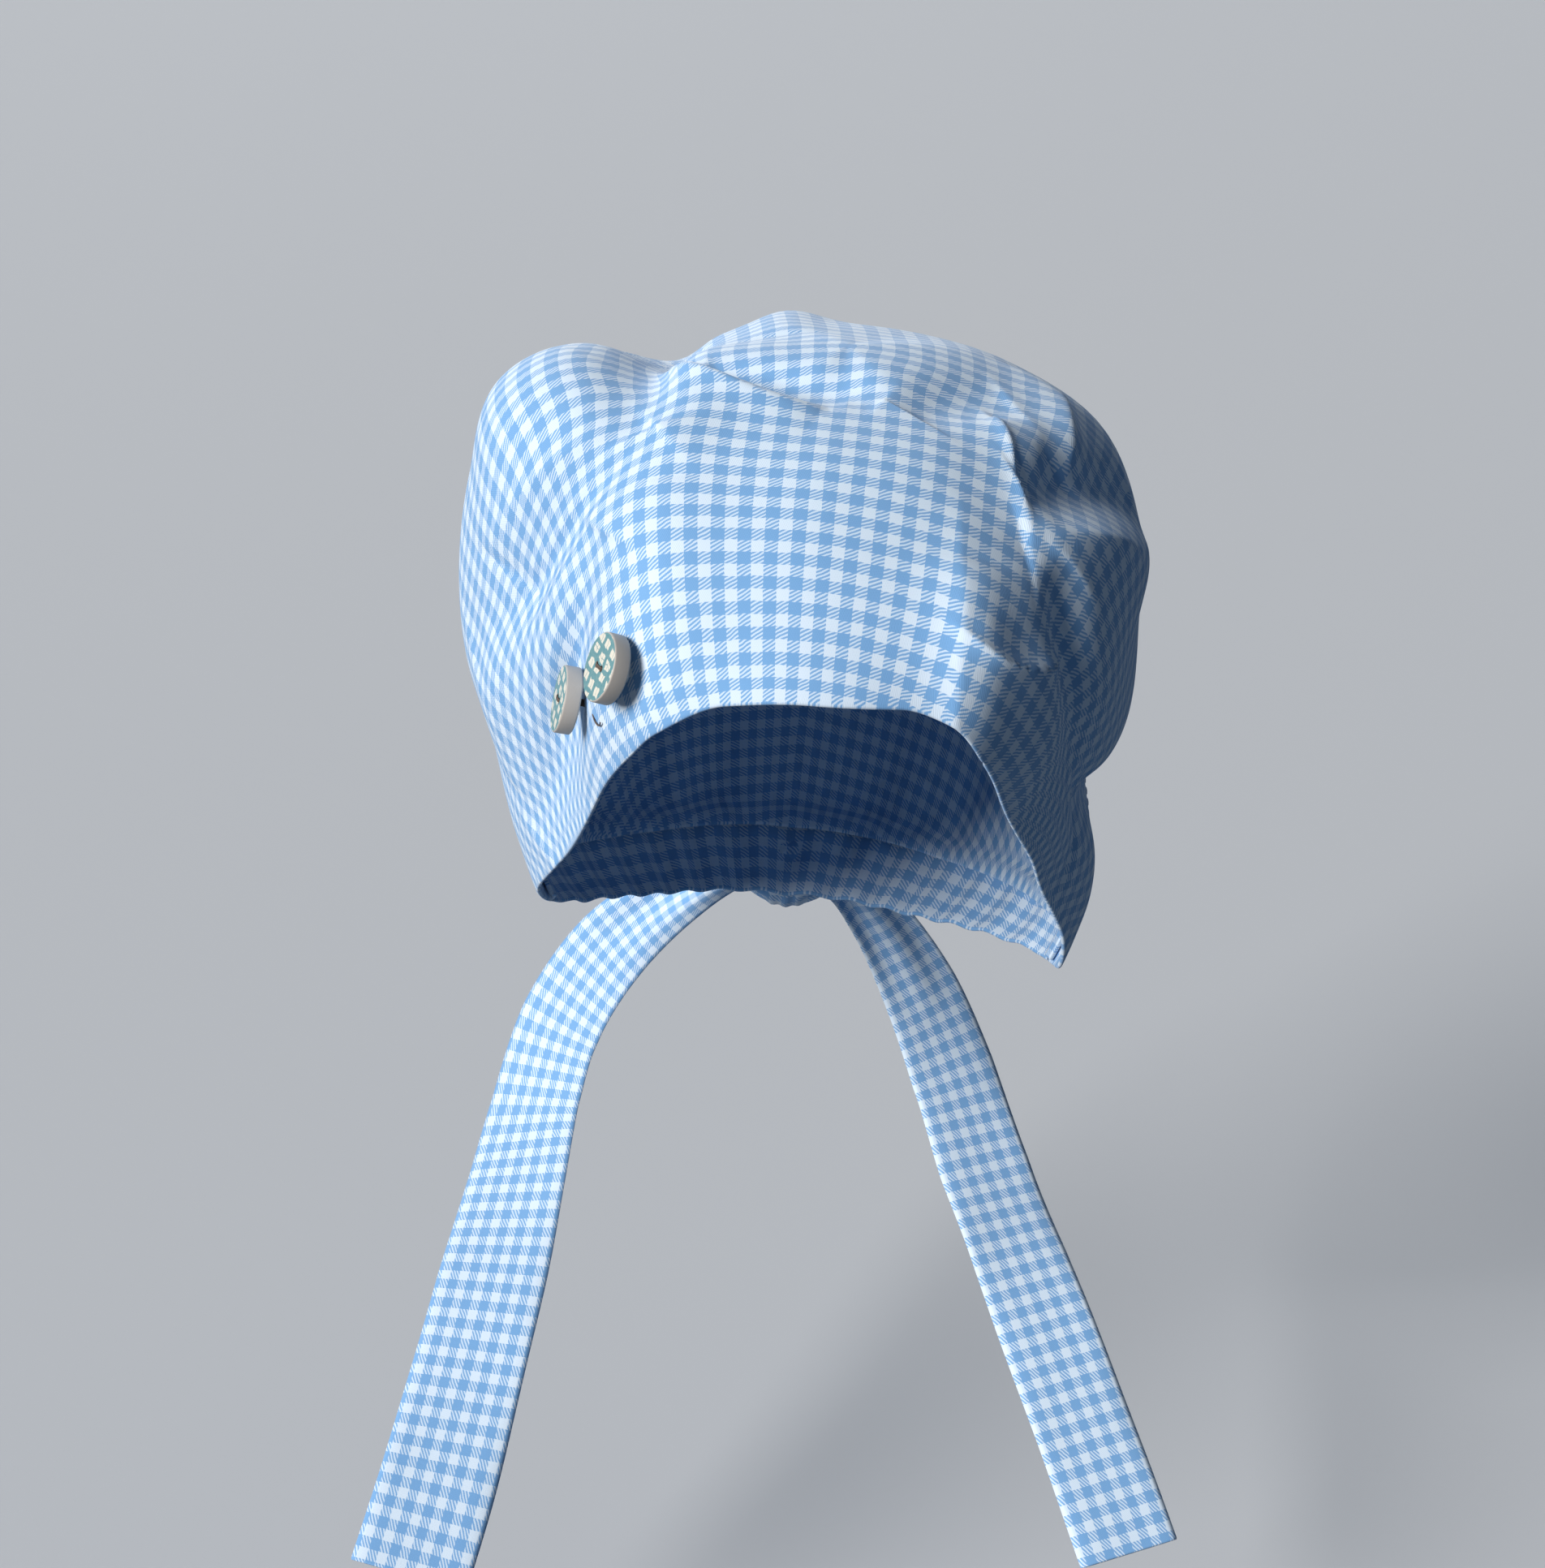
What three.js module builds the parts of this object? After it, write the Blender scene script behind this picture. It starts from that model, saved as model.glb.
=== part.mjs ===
// A gingham scrub cap as it is worn: a wide front panel over the forehead, crown and ears, a gathered pouch behind,
// a casing round the nape, the knot of the two ties, the ties hanging forward, and two flat wooden buttons.
// Millimetres. x runs to the viewer's right when the cap faces the viewer, y to the back, z up.
// The origin is the place inside the crown where the top of the head bears.
import * as THREE from "three";

// Cloth and fit
const WALL = 1.7; // two layers of cotton twill
const GAP = 0.3; // left between neighbouring pieces
const HEAD_MIDDLE = 65; // from the top of the head down to the middle of the hollow, where the sections are measured
const SEAM_START = 100; // bearing of the low corner below each ear, where panel, pouch and casing meet
const CASING_HEIGHT = 17;

// Colours
const COTTON = new THREE.MeshStandardMaterial({ color: 0xa9c8ea, roughness: 0.9, name: "cotton_gingham" });
const WOOD = new THREE.MeshStandardMaterial({ color: 0xcfc6b4, roughness: 0.55, name: "printed_wood" });

// Distance of the cloth's outer face from the middle of the hollow. A row for each tilt up from level, in degrees;
// the columns are bearings in degrees from the front, negative on the viewer's left.
const SECTION_COLUMNS = [-150, -120, -90, -60, -30, 0, 30, 60, 90, 120, 150, 180];
const SECTIONS = [
  [-75, 138, 132, 126, 100, 90, 90, 92, 112, 140, 140, 140, 140],
  [-60, 124, 121, 116, 104, 94, 92, 94, 108, 131, 127, 126, 125],
  [-45, 121, 114, 102, 92, 88, 92, 88, 92, 107, 118, 124, 125],
  [-30, 116, 106, 92, 82, 85, 94, 83, 84, 87, 103, 116, 120],
  [-15, 112, 103, 91, 78, 85, 95, 84, 80, 84, 98, 110, 116],
  [0, 107, 101, 91, 79, 86, 95, 87, 80, 80, 94, 105, 111],
  [15, 103, 99, 93, 83, 83, 85, 84, 79, 81, 92, 101, 105],
  [30, 93, 94, 97, 87, 78, 77, 77, 76, 79, 90, 95, 96],
  [45, 81, 80, 87, 83, 72, 71, 72, 72, 75, 81, 84, 84],
  [60, 71, 70, 72, 71, 67, 66, 67, 69, 71, 74, 74, 74],
  [75, 68, 67, 67, 66, 65, 64, 66, 67, 68, 69, 68, 68],
  [90, 66.6, 66.6, 66.6, 66.6, 66.6, 66.6, 66.6, 66.6, 66.6, 66.6, 66.6, 66.6],
];

// Height of the lower edge at each bearing, from the forehead round both ears to the nape
const RIM = [
  [-180, -174],
  [-150, -173],
  [-120, -168],
  [-100, -160],
  [-86, -150],
  [-60, -127],
  [-45, -107],
  [-28, -81],
  [-22, -71.3],
  [-12, -61],
  [0, -57.8],
  [12, -57.6],
  [19, -60.8],
  [25, -70],
  [38, -91],
  [60, -117],
  [82, -143],
  [94, -160],
  [120, -168],
  [150, -173],
  [180, -174],
];

// Tilt of the seam between panel and pouch at each bearing behind the ears, the same on both sides
const SEAM = [
  [100, -46],
  [112, -30],
  [122, -8],
  [131, 12],
  [141, 27],
  [155, 38],
  [180, 44],
];

// Folds of the cloth. Each runs from its start past its middle to its end, given as bearing and tilt in degrees;
// left and right are its widths on either side of the way it runs, and rise is its height, negative for a dent.
const FOLD_COLUMNS = ["name", "start", "middle", "end", "left", "right", "rise"];
const FOLDS = [
  ["left front valley", [-82, -12], [-58, 14], [-47, 42], 12, 11, -4.5],
  ["notch valley", [-48, 40], [-107, 50], [-148, 26], 10, 10, -10.5],
  ["centre top puff", [-176, 34], [-162, 50], [-136, 70], 10, 10, 4.5],
  ["left temple valley", [-70, -42], [-50, -6], [-45, 22], 8, 13, -7],
  ["left front turn", [-36, 34], [-24, 8], [-23, -14], 12, 9, 2.5],
  ["left lower lobe", [-80, -34], [-74, -14], [-68, 6], 12, 8, 3],
  ["left upper puff", [-74, 8], [-76, 28], [-84, 44], 14, 14, 2],
  ["top front ridge", [-66, 52], [-45, 60], [-8, 62], 4, 12, 2.5],
  ["behind the ridge", [-72, 60], [-52, 69], [20, 66], 7, 6, -3.5],
  ["upper right dip", [30, 60], [58, 62], [80, 55], 9, 8, -3],
  ["pressed crease", [62, 55], [54, 46], [42, 28], 6, 8, 2],
  ["right front turn", [27, 26], [24, 11], [25, -4], 9, 9, 2.5],
  ["smile crease", [22, 15], [33, 8], [43, 11], 6, 7, 1.2],
  ["right lit ridge", [40, 30], [61, 26], [100, 12], 7, 12, 4],
  ["right upper dip", [46, 40], [68, 36], [100, 24], 7, 7, -4],
  ["upper right edge", [118, 50], [90, 45], [70, 38], 9, 9, 2.5],
  ["right side valley", [50, 22], [46, 6], [68, -24], 9, 8, -4],
  ["right ear bulge", [76, -34], [90, -40], [95, -54], 12, 12, 4],
  ["over the ear dip", [60, -20], [90, -30], [122, -26], 8, 7, -5],
];
const GATHERS = { count: 15, rise: 1.3, reach: 20 }; // ripples of the pouch where it is drawn into seam and casing

// Way of each tie from the knot to its free end. A row for each station: where its middle is, its width,
// and how far its face is turned about its own length, in degrees.
const TIE_COLUMNS = ["x", "y", "z", "width", "turn"];
const TIE_WAYS = {
  tie_left: [
    [-15.6, 80, -175, 13, 40],
    [-32, 87, -188, 19, 36],
    [-52, 92, -212, 26, 30],
    [-65, 88, -237, 31, 28],
    [-70, 74, -258, 33, 32],
    [-72, 50, -273, 33.5, 24],
    [-74, 22, -288, 33.5, 14],
    [-77, -6, -306, 33.5, 6],
    [-80, -30, -323, 33.5, 2],
    [-84, -48, -340, 33.5, 0],
  ],
  tie_right: [
    [16.1, 80, -175, 13, -30],
    [29, 86, -189, 18, -25],
    [45, 88, -213, 24, -20],
    [58, 82, -237, 28, -14],
    [70, 64, -259, 29.5, -10],
    [82, 42, -276, 29.5, -6],
    [95, 18, -295, 29.5, -3],
    [107, -4, -313, 29.5, 0],
    [116.5, -22, -328, 29.5, 0],
  ],
};
const TIE_THICKNESS = 1.6; // a strip folded double
const TIE_CORNER = 2; // how far the corners of the free end are rounded off

const KNOT = { centre: [0, 79.3, -173.8], width: 29, depth: 15, height: 19, wrap: 1.2, wrapWidth: 6 };

const BUTTON = { radius: 8, thickness: 4, rounding: 0.5, hole: 0.8, holeOffset: 1.5 };
const BUTTONS = {
  // bearing and tilt of the middle, way the face looks: bearing and tilt, all in degrees; shank is the thread
  // between cloth and button
  button_upper: { at: [-29.2, 2.8], looks: [-66, 16], shank: 2.5 },
  button_lower: { at: [-45.2, -9.6], looks: [-77, 9], shank: 2.3 },
};

// Helpers that read the tables
const radians = (degrees) => (degrees * Math.PI) / 180;
const middle = new THREE.Vector3(0, 0, -HEAD_MIDDLE);

function cubic(a, b, c, d, t) {
  return 0.5 * (2 * b + (c - a) * t + (2 * a - 5 * b + 4 * c - d) * t * t + (3 * b - a - 3 * c + d) * t * t * t);
}

function fromTable(rows, x) {
  let i = 0;
  while (i < rows.length - 2 && x > rows[i + 1][0]) i += 1;
  const span = rows[i + 1][0] - rows[i][0];
  const t = Math.min(1, Math.max(0, (x - rows[i][0]) / span));
  const slope = (j) => {
    const k = Math.min(rows.length - 2, Math.max(1, j));
    const before = (rows[k][1] - rows[k - 1][1]) / (rows[k][0] - rows[k - 1][0]);
    const after = (rows[k + 1][1] - rows[k][1]) / (rows[k + 1][0] - rows[k][0]);
    return before * after <= 0 ? 0 : (2 * before * after) / (before + after);
  };
  const m0 = slope(i) * span;
  const m1 = slope(i + 1) * span;
  const h = t * t * (3 - 2 * t);
  return rows[i][1] + (rows[i + 1][1] - rows[i][1]) * h + m0 * t * (1 - t) * (1 - t) - m1 * t * t * (1 - t);
}

// Distance of the unfolded cloth from the middle of the hollow
function sectionRadius(bearing, tilt) {
  const columns = SECTION_COLUMNS.length;
  const a = ((((bearing - SECTION_COLUMNS[0]) % 360) + 360) % 360) / 30;
  const i = Math.floor(a);
  const top = SECTIONS.length - 1;
  const b = Math.min(top - 1e-9, Math.max(0, (tilt - SECTIONS[0][0]) / 15));
  const j = Math.floor(b);
  const across = (row) => {
    const past = row > top;
    const cells = SECTIONS[past ? 2 * top - row : Math.max(0, row)];
    const at = (k) => cells[1 + ((i + k + (past ? columns / 2 : 0) + columns) % columns)];
    return cubic(at(-1), at(0), at(1), at(2), a - i);
  };
  return cubic(across(j - 1), across(j), across(j + 1), across(j + 2), b - j);
}

function wayOut(bearing, tilt) {
  const a = radians(bearing);
  const e = radians(tilt);
  return new THREE.Vector3(Math.sin(a) * Math.cos(e), -Math.cos(a) * Math.cos(e), Math.sin(e));
}

function unfolded(bearing, tilt) {
  return wayOut(bearing, tilt).multiplyScalar(sectionRadius(bearing, tilt)).add(middle);
}

// Each fold as a short chain of points on the unfolded cloth
const folds = FOLDS.map((row) => {
  const fold = Object.fromEntries(FOLD_COLUMNS.map((column, i) => [column, row[i]]));
  const [p, q, r] = [fold.start, fold.middle, fold.end].map(([bearing, tilt]) => wayOut(bearing, tilt));
  const pull = q.clone().multiplyScalar(2).addScaledVector(p, -0.5).addScaledVector(r, -0.5);
  fold.chain = Array.from({ length: 16 }, (_, k) => {
    const t = k / 15;
    const way = p.clone().multiplyScalar((1 - t) * (1 - t));
    way.addScaledVector(pull, 2 * t * (1 - t)).addScaledVector(r, t * t).normalize();
    const bearing = THREE.MathUtils.radToDeg(Math.atan2(way.x, -way.y));
    const tilt = THREE.MathUtils.radToDeg(Math.asin(way.z));
    return way.multiplyScalar(sectionRadius(bearing, tilt)).add(middle);
  });
  return fold;
});

function foldRise(point) {
  const out = point.clone().sub(middle).normalize();
  let rise = 0;
  for (const { chain, left, right, rise: height } of folds) {
    let nearest = Infinity;
    let side = 1;
    let along = 0;
    for (let k = 0; k < chain.length - 1; k += 1) {
      const step = chain[k + 1].clone().sub(chain[k]);
      const to = point.clone().sub(chain[k]);
      const share = to.dot(step) / step.lengthSq();
      const off = to.clone().addScaledVector(step, -Math.min(1, Math.max(0, share)));
      if (off.length() < nearest) {
        nearest = off.length();
        side = out.clone().cross(step).dot(to);
        along = (k + share) / (chain.length - 1);
      }
    }
    const width = side > 0 ? left : right;
    const fade = Math.sqrt(Math.sin(Math.PI * Math.min(1, Math.max(0, along))));
    rise += height * fade * Math.exp(-((nearest / width) ** 2));
  }
  return rise;
}

// The tilt at which the cloth comes down to a height
function tiltAtHeight(bearing, height) {
  let low = -80;
  let high = 40;
  for (let k = 0; k < 30; k += 1) {
    const tilt = (low + high) / 2;
    if (unfolded(bearing, tilt).z < height) low = tilt;
    else high = tilt;
  }
  return (low + high) / 2;
}

const rimTilt = (bearing) => tiltAtHeight(bearing, fromTable(RIM, bearing));
const casingTilt = (bearing) => tiltAtHeight(bearing, fromTable(RIM, bearing) + CASING_HEIGHT);
const seamTilt = (bearing) => fromTable(SEAM, Math.abs(bearing));

// The tilt that leaves half a gap beside an edge given as tilt by bearing
function halfGap(edge, bearing) {
  const steep = (edge(bearing + 0.5) - edge(bearing - 0.5)) / Math.cos(radians(edge(bearing)));
  return THREE.MathUtils.radToDeg(GAP / 2 / 80) * Math.hypot(1, steep);
}

// A closed solid between an outer and an inner sheet of points. Each sheet is a list of columns; the columns may
// close into a ring, and a ring may share its first point in a pole.
function closedSolid(outer, inner, { ring = false, pole = false } = {}) {
  const columns = outer.length;
  const rows = outer[0].length;
  const points = [];
  const put = (p) => points.push(p.x, p.y, p.z) / 3 - 1;
  const index = (sheet) => {
    const shared = pole ? put(sheet[0][0]) : null;
    return sheet.map((column) => column.map((p, k) => (pole && k === 0 ? shared : put(p))));
  };
  const a = index(outer);
  const b = index(inner);
  const faces = [];
  const between = (p, q) => Math.hypot(...[0, 1, 2].map((n) => points[3 * p + n] - points[3 * q + n]));
  const quad = (p, q, r, s) => {
    if (p === q) faces.push(p, r, s);
    else if (between(p, r) < between(q, s)) faces.push(p, q, r, p, r, s);
    else faces.push(p, q, s, q, r, s);
  };
  const last = ring ? columns : columns - 1;
  for (let i = 0; i < last; i += 1) {
    const j = (i + 1) % columns;
    for (let k = 0; k < rows - 1; k += 1) {
      quad(a[i][k], a[j][k], a[j][k + 1], a[i][k + 1]);
      quad(b[j][k], b[i][k], b[i][k + 1], b[j][k + 1]);
    }
    if (!pole) quad(a[j][0], a[i][0], b[i][0], b[j][0]);
    quad(a[i][rows - 1], a[j][rows - 1], b[j][rows - 1], b[i][rows - 1]);
  }
  if (!ring) {
    for (let k = 0; k < rows - 1; k += 1) {
      quad(a[0][k], a[0][k + 1], b[0][k + 1], b[0][k]);
      quad(a[columns - 1][k + 1], a[columns - 1][k], b[columns - 1][k], b[columns - 1][k + 1]);
    }
  }
  let volume = 0;
  const at = (n) => new THREE.Vector3().fromArray(points, 3 * n);
  for (let f = 0; f < faces.length; f += 3) {
    volume += at(faces[f]).dot(at(faces[f + 1]).cross(at(faces[f + 2])));
  }
  if (volume < 0) {
    for (let f = 0; f < faces.length; f += 3) [faces[f + 1], faces[f + 2]] = [faces[f + 2], faces[f + 1]];
  }
  const geometry = new THREE.BufferGeometry();
  geometry.setAttribute("position", new THREE.Float32BufferAttribute(points, 3));
  geometry.setIndex(faces);
  geometry.computeVertexNormals();
  return geometry;
}

// The cloth's outer and inner point on one ray, its wall as thick square to the cloth as along the ray
function clothPair(bearing, tilt, extra = () => 0) {
  const face = (b, t) => {
    const p = unfolded(b, t);
    const rise = foldRise(p) + extra(b, t);
    return p.addScaledVector(wayOut(b, t), rise);
  };
  const outer = face(bearing, tilt);
  const step = 1.5;
  const up = face(bearing, tilt + step).sub(face(bearing, tilt - step));
  const flat = Math.max(step / Math.max(0.15, Math.cos(radians(tilt))), step);
  const round = face(bearing + flat, tilt).sub(face(bearing - flat, tilt));
  const square = Math.abs(round.cross(up).normalize().dot(wayOut(bearing, tilt)));
  const depth = WALL / Math.max(0.6, square || 1);
  return [outer, outer.clone().addScaledVector(wayOut(bearing, tilt), -depth)];
}

function clothPiece(bearings, top, bottom, rows, options, extra) {
  const outer = [];
  const inner = [];
  for (const bearing of bearings) {
    const pairs = Array.from({ length: rows + 1 }, (_, k) => {
      const tilt = top(bearing) + ((bottom(bearing) - top(bearing)) * k) / rows;
      return clothPair(bearing, tilt, extra);
    });
    outer.push(pairs.map((pair) => pair[0]));
    inner.push(pairs.map((pair) => pair[1]));
  }
  return closedSolid(outer, inner, options);
}

function bearingsBetween(from, to, count) {
  return Array.from({ length: count + 1 }, (_, i) => from + ((to - from) * i) / count);
}

// Gathers draw the pouch into ripples near the seam and the casing
function gatherRise(bearing, tilt) {
  const behind = Math.abs(bearing) > 180 ? 360 - Math.abs(bearing) : Math.abs(bearing);
  const reach = GATHERS.reach;
  const fromSeam = Math.exp(-Math.max(0, seamTilt(behind) - tilt) / reach);
  const fromCasing = Math.exp(-Math.max(0, tilt - casingTilt(behind)) / reach);
  const side = Math.min(1, Math.max(0, (behind - SEAM_START) / 18));
  return GATHERS.rise * side * Math.max(fromSeam, fromCasing) * Math.cos(radians(bearing * GATHERS.count));
}

// Front panel: from forehead edge over the crown, and behind the ears up to the seam
const backBearings = [SEAM_START + 1, ...bearingsBetween(108, 180, 12)];
const frontBearings = bearingsBetween(-SEAM_START, SEAM_START, 54);
const leftBack = backBearings.slice(0, -1).map((bearing) => -bearing);
const panelBearings = [...leftBack.reverse(), ...frontBearings, ...backBearings];
function panelEdge(bearing) {
  const behind = Math.abs(bearing);
  if (behind <= SEAM_START) return rimTilt(bearing);
  return seamTilt(behind) + halfGap(seamTilt, behind);
}
const frontPanel = clothPiece(panelBearings, () => 90, panelEdge, 23, { ring: true, pole: true });

// Pouch: the gathered back of the crown, between seam and casing
const behindSymmetric = (edge) => (bearing, tilt) => edge(bearing > 180 ? bearing - 360 : bearing, tilt);
const casingStart = SEAM_START + 1.3;
const pouchBearings = [casingStart, ...bearingsBetween(108, 252, 24), 360 - casingStart];
const pouch = clothPiece(
  pouchBearings,
  behindSymmetric((b) => seamTilt(b) - halfGap(seamTilt, Math.abs(b))),
  behindSymmetric((b) => casingTilt(b) + halfGap(casingTilt, b)),
  8,
  {},
  behindSymmetric(gatherRise),
);

// Casing round the nape, from one low corner to the other
const casing = clothPiece(
  pouchBearings,
  behindSymmetric((b) => casingTilt(b) - halfGap(casingTilt, b)),
  behindSymmetric(rimTilt),
  2,
  {},
);

// A tie: a flat strip folded double that hangs along its way and ends square with its corners rounded off
function tie(rows) {
  const stations = rows.map((row) => Object.fromEntries(TIE_COLUMNS.map((column, i) => [column, row[i]])));
  const way = new THREE.CatmullRomCurve3(
    stations.map((s) => new THREE.Vector3(s.x, s.y, s.z)),
    false,
    "centripetal",
  );
  const steps = 30;
  const outer = [];
  const inner = [];
  const last = stations.length - 1;
  const total = way.getLength();
  for (let i = 0; i <= steps; i += 1) {
    const t = i / steps;
    const p = way.getPoint(t);
    const along = way.getTangent(t);
    const s = Math.min(last - 1e-9, t * last);
    const j = Math.floor(s);
    const mix = (name) => stations[j][name] + (stations[j + 1][name] - stations[j][name]) * (s - j);
    const across = new THREE.Vector3(1, 0, 0).addScaledVector(along, -along.x).normalize();
    across.applyAxisAngle(along, radians(mix("turn")));
    const face = across.clone().cross(along).normalize();
    const toEnd = total * (1 - t);
    const cut = Math.max(0, TIE_CORNER - toEnd) ** 2 / (2 * TIE_CORNER);
    const half = mix("width") / 2 - cut;
    const line = [-1, 0, 1].map((u) => p.clone().addScaledVector(across, u * half));
    outer.push(line.map((q) => q.clone().addScaledVector(face, TIE_THICKNESS / 2)));
    inner.push(line.map((q) => q.clone().addScaledVector(face, -TIE_THICKNESS / 2)));
  }
  return closedSolid(outer, inner);
}

// The knot at the nape, a soft lump with one wrap round its middle
function knot() {
  const geometry = new THREE.SphereGeometry(1, 18, 12);
  geometry.rotateZ(Math.PI / 2);
  const position = geometry.getAttribute("position");
  for (let i = 0; i < position.count; i += 1) {
    const p = new THREE.Vector3().fromBufferAttribute(position, i);
    const size = new THREE.Vector3(KNOT.width, KNOT.depth, KNOT.height).multiplyScalar(0.5);
    const x = p.x * size.x;
    const round = Math.hypot(p.y, p.z) || 1;
    const wrap = KNOT.wrap * Math.exp(-((x / KNOT.wrapWidth) ** 4));
    const y = p.y * size.y + (wrap * p.y) / round;
    const z = p.z * size.z + (wrap * p.z) / round;
    position.setXYZ(i, x + KNOT.centre[0], y + KNOT.centre[1], z + KNOT.centre[2]);
  }
  geometry.computeVertexNormals();
  return geometry;
}

// A round flat button with rounded rims and two sewing holes, set on the cloth
function button({ at, looks, shank }) {
  const { radius, thickness, rounding, hole, holeOffset } = BUTTON;
  const outline = new THREE.Shape().absarc(0, 0, radius - rounding, 0, 2 * Math.PI);
  for (const side of [-1, 1]) {
    outline.holes.push(new THREE.Path().absarc(side * holeOffset, 0, hole, 0, 2 * Math.PI, true));
  }
  const geometry = new THREE.ExtrudeGeometry(outline, {
    depth: thickness - 2 * rounding,
    bevelThickness: rounding,
    bevelSize: rounding,
    bevelSegments: 1,
    curveSegments: 10,
  });
  geometry.translate(0, 0, rounding);
  const normal = wayOut(...looks);
  geometry.applyQuaternion(new THREE.Quaternion().setFromUnitVectors(new THREE.Vector3(0, 0, 1), normal));
  const seat = unfolded(...at);
  seat.addScaledVector(wayOut(...at), foldRise(seat));
  seat.addScaledVector(normal, shank);
  geometry.translate(seat.x, seat.y, seat.z);
  return geometry;
}

const group = new THREE.Group();
function add(name, geometry, material) {
  const mesh = new THREE.Mesh(geometry, material);
  mesh.name = name;
  group.add(mesh);
}
add("front_panel", frontPanel, COTTON);
add("crown_pouch", pouch, COTTON);
add("nape_band", casing, COTTON);
add("nape_knot", knot(), COTTON);
for (const [name, rows] of Object.entries(TIE_WAYS)) add(name, tie(rows), COTTON);
for (const [name, place] of Object.entries(BUTTONS)) add(name, button(place), WOOD);

export default group;
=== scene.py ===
import math
from functools import partial

import bmesh
import bpy
import numpy as np
from mathutils import Matrix, Vector


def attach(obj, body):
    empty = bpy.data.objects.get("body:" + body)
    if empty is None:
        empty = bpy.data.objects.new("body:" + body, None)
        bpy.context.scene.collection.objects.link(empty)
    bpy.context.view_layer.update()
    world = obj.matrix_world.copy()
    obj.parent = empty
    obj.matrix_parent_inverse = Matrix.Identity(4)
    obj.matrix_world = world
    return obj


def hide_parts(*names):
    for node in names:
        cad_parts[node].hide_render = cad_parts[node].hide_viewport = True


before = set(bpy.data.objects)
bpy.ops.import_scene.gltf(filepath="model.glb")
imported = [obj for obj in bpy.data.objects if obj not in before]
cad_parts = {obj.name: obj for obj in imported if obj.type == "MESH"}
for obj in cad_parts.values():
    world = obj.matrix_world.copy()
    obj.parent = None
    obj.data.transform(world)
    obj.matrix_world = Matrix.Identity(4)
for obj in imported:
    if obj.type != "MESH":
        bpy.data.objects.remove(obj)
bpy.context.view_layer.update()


# Front panel
# One wide piece of eighth-inch gingham twill over forehead, crown and both sides. Its front edge is turned in
# and its back edge is sewn to the pouch. Sizes are in millimetres, measured from the middle of the hollow.
HEAD_MIDDLE = 65.0
PANEL_WALL = 1.2
SIDE_CORNER = 100.0
CORNER_TURN = 0.6  # the bearing within which the panel's edge turns up from the rim to the seam
CHECK_ACROSS = 6.1
CHECK_DOWN = 5.65

SECTION_BEARINGS = [-150, -120, -90, -60, -30, 0, 30, 60, 90, 120, 150, 180]
SECTION_SIZES = np.array([
    [138, 132, 126, 100, 90, 90, 92, 112, 140, 140, 140, 140],
    [124, 121, 116, 104, 94, 92, 94, 108, 131, 127, 126, 125],
    [121, 114, 102, 92, 88, 92, 88, 92, 107, 118, 124, 125],
    [116, 106, 92, 82, 85, 94, 83, 84, 87, 103, 116, 120],
    [112, 103, 91, 78, 85, 95, 84, 80, 84, 98, 110, 116],
    [107, 101, 91, 79, 86, 95, 87, 80, 80, 94, 105, 111],
    [103, 99, 93, 83, 83, 85, 84, 79, 81, 92, 101, 105],
    [93, 94, 97, 87, 78, 77, 77, 76, 79, 90, 95, 96],
    [81, 80, 87, 83, 72, 71, 72, 72, 75, 81, 84, 84],
    [71, 70, 72, 71, 67, 66, 67, 69, 71, 74, 74, 74],
    [68, 67, 67, 66, 65, 64, 66, 67, 68, 69, 68, 68],
    [66.6] * 12,
])
FRONT_EDGE = [  # bearing, height
    (-180, -174), (-150, -173), (-120, -168), (-100, -160), (-86, -150), (-60, -127), (-45, -107), (-28, -81),
    (-22, -71.3), (-12, -61), (0, -57.8), (12, -57.6), (19, -60.8), (25, -70), (38, -91), (60, -117),
    (82, -143), (94, -160), (120, -168), (150, -173), (180, -174),
]
BACK_SEAM = [(100, -46), (112, -30), (122, -8), (131, 12), (141, 27), (155, 38), (180, 44)]  # bearing, tilt

# Puffs, dents and creases: start, middle and end as bearing and tilt, width to the left and to the right of
# the way each runs, height, and, where one is given, how rounded its crest is: 2 is soft, 1 is sharp
PANEL_FOLDS = [
    ("left front valley", (-82, -12), (-58, 14), (-47, 42), 12, 11, -4.5),
    ("notch valley", (-48, 40), (-107, 50), (-148, 26), 10, 10, -10.5),
    ("centre top puff", (-176, 34), (-162, 50), (-136, 70), 10, 10, 4.5),
    ("left temple valley", (-70, -42), (-50, -6), (-45, 22), 8, 13, -7),
    ("left front turn", (-36, 34), (-24, 8), (-23, -14), 12, 9, 2.5),
    ("left lower lobe", (-80, -34), (-74, -14), (-68, 6), 12, 8, 3),
    ("left upper puff", (-74, 8), (-76, 28), (-84, 44), 14, 14, 2),
    ("top front ridge", (-66, 52), (-45, 60), (-8, 62), 4, 12, 2.5, 2),
    ("behind the ridge", (-72, 60), (-52, 69), (20, 66), 7, 6, -3.5),
    ("upper right dip", (30, 60), (58, 62), (80, 55), 9, 8, -3),
    ("pressed crease", (62, 55), (54, 46), (42, 28), 6, 8, 2),
    ("right front turn", (27, 26), (24, 11), (25, -4), 9, 9, 2.5),
    ("smile crease", (22, 15), (33, 8), (43, 11), 6, 7, 1.2),
    ("right lit ridge", (40, 30), (61, 26), (100, 12), 7, 12, 4),
    ("right upper dip", (46, 40), (68, 36), (100, 24), 7, 7, -4),
    ("upper right edge", (118, 50), (90, 45), (70, 38), 9, 9, 2.5),
    ("right side valley", (50, 22), (46, 6), (68, -24), 9, 8, -4),
    ("right ear bulge", (76, -34), (90, -40), (95, -54), 12, 12, 4),
    ("over the ear dip", (60, -20), (90, -30), (122, -26), 8, 7, -5),
]
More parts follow.
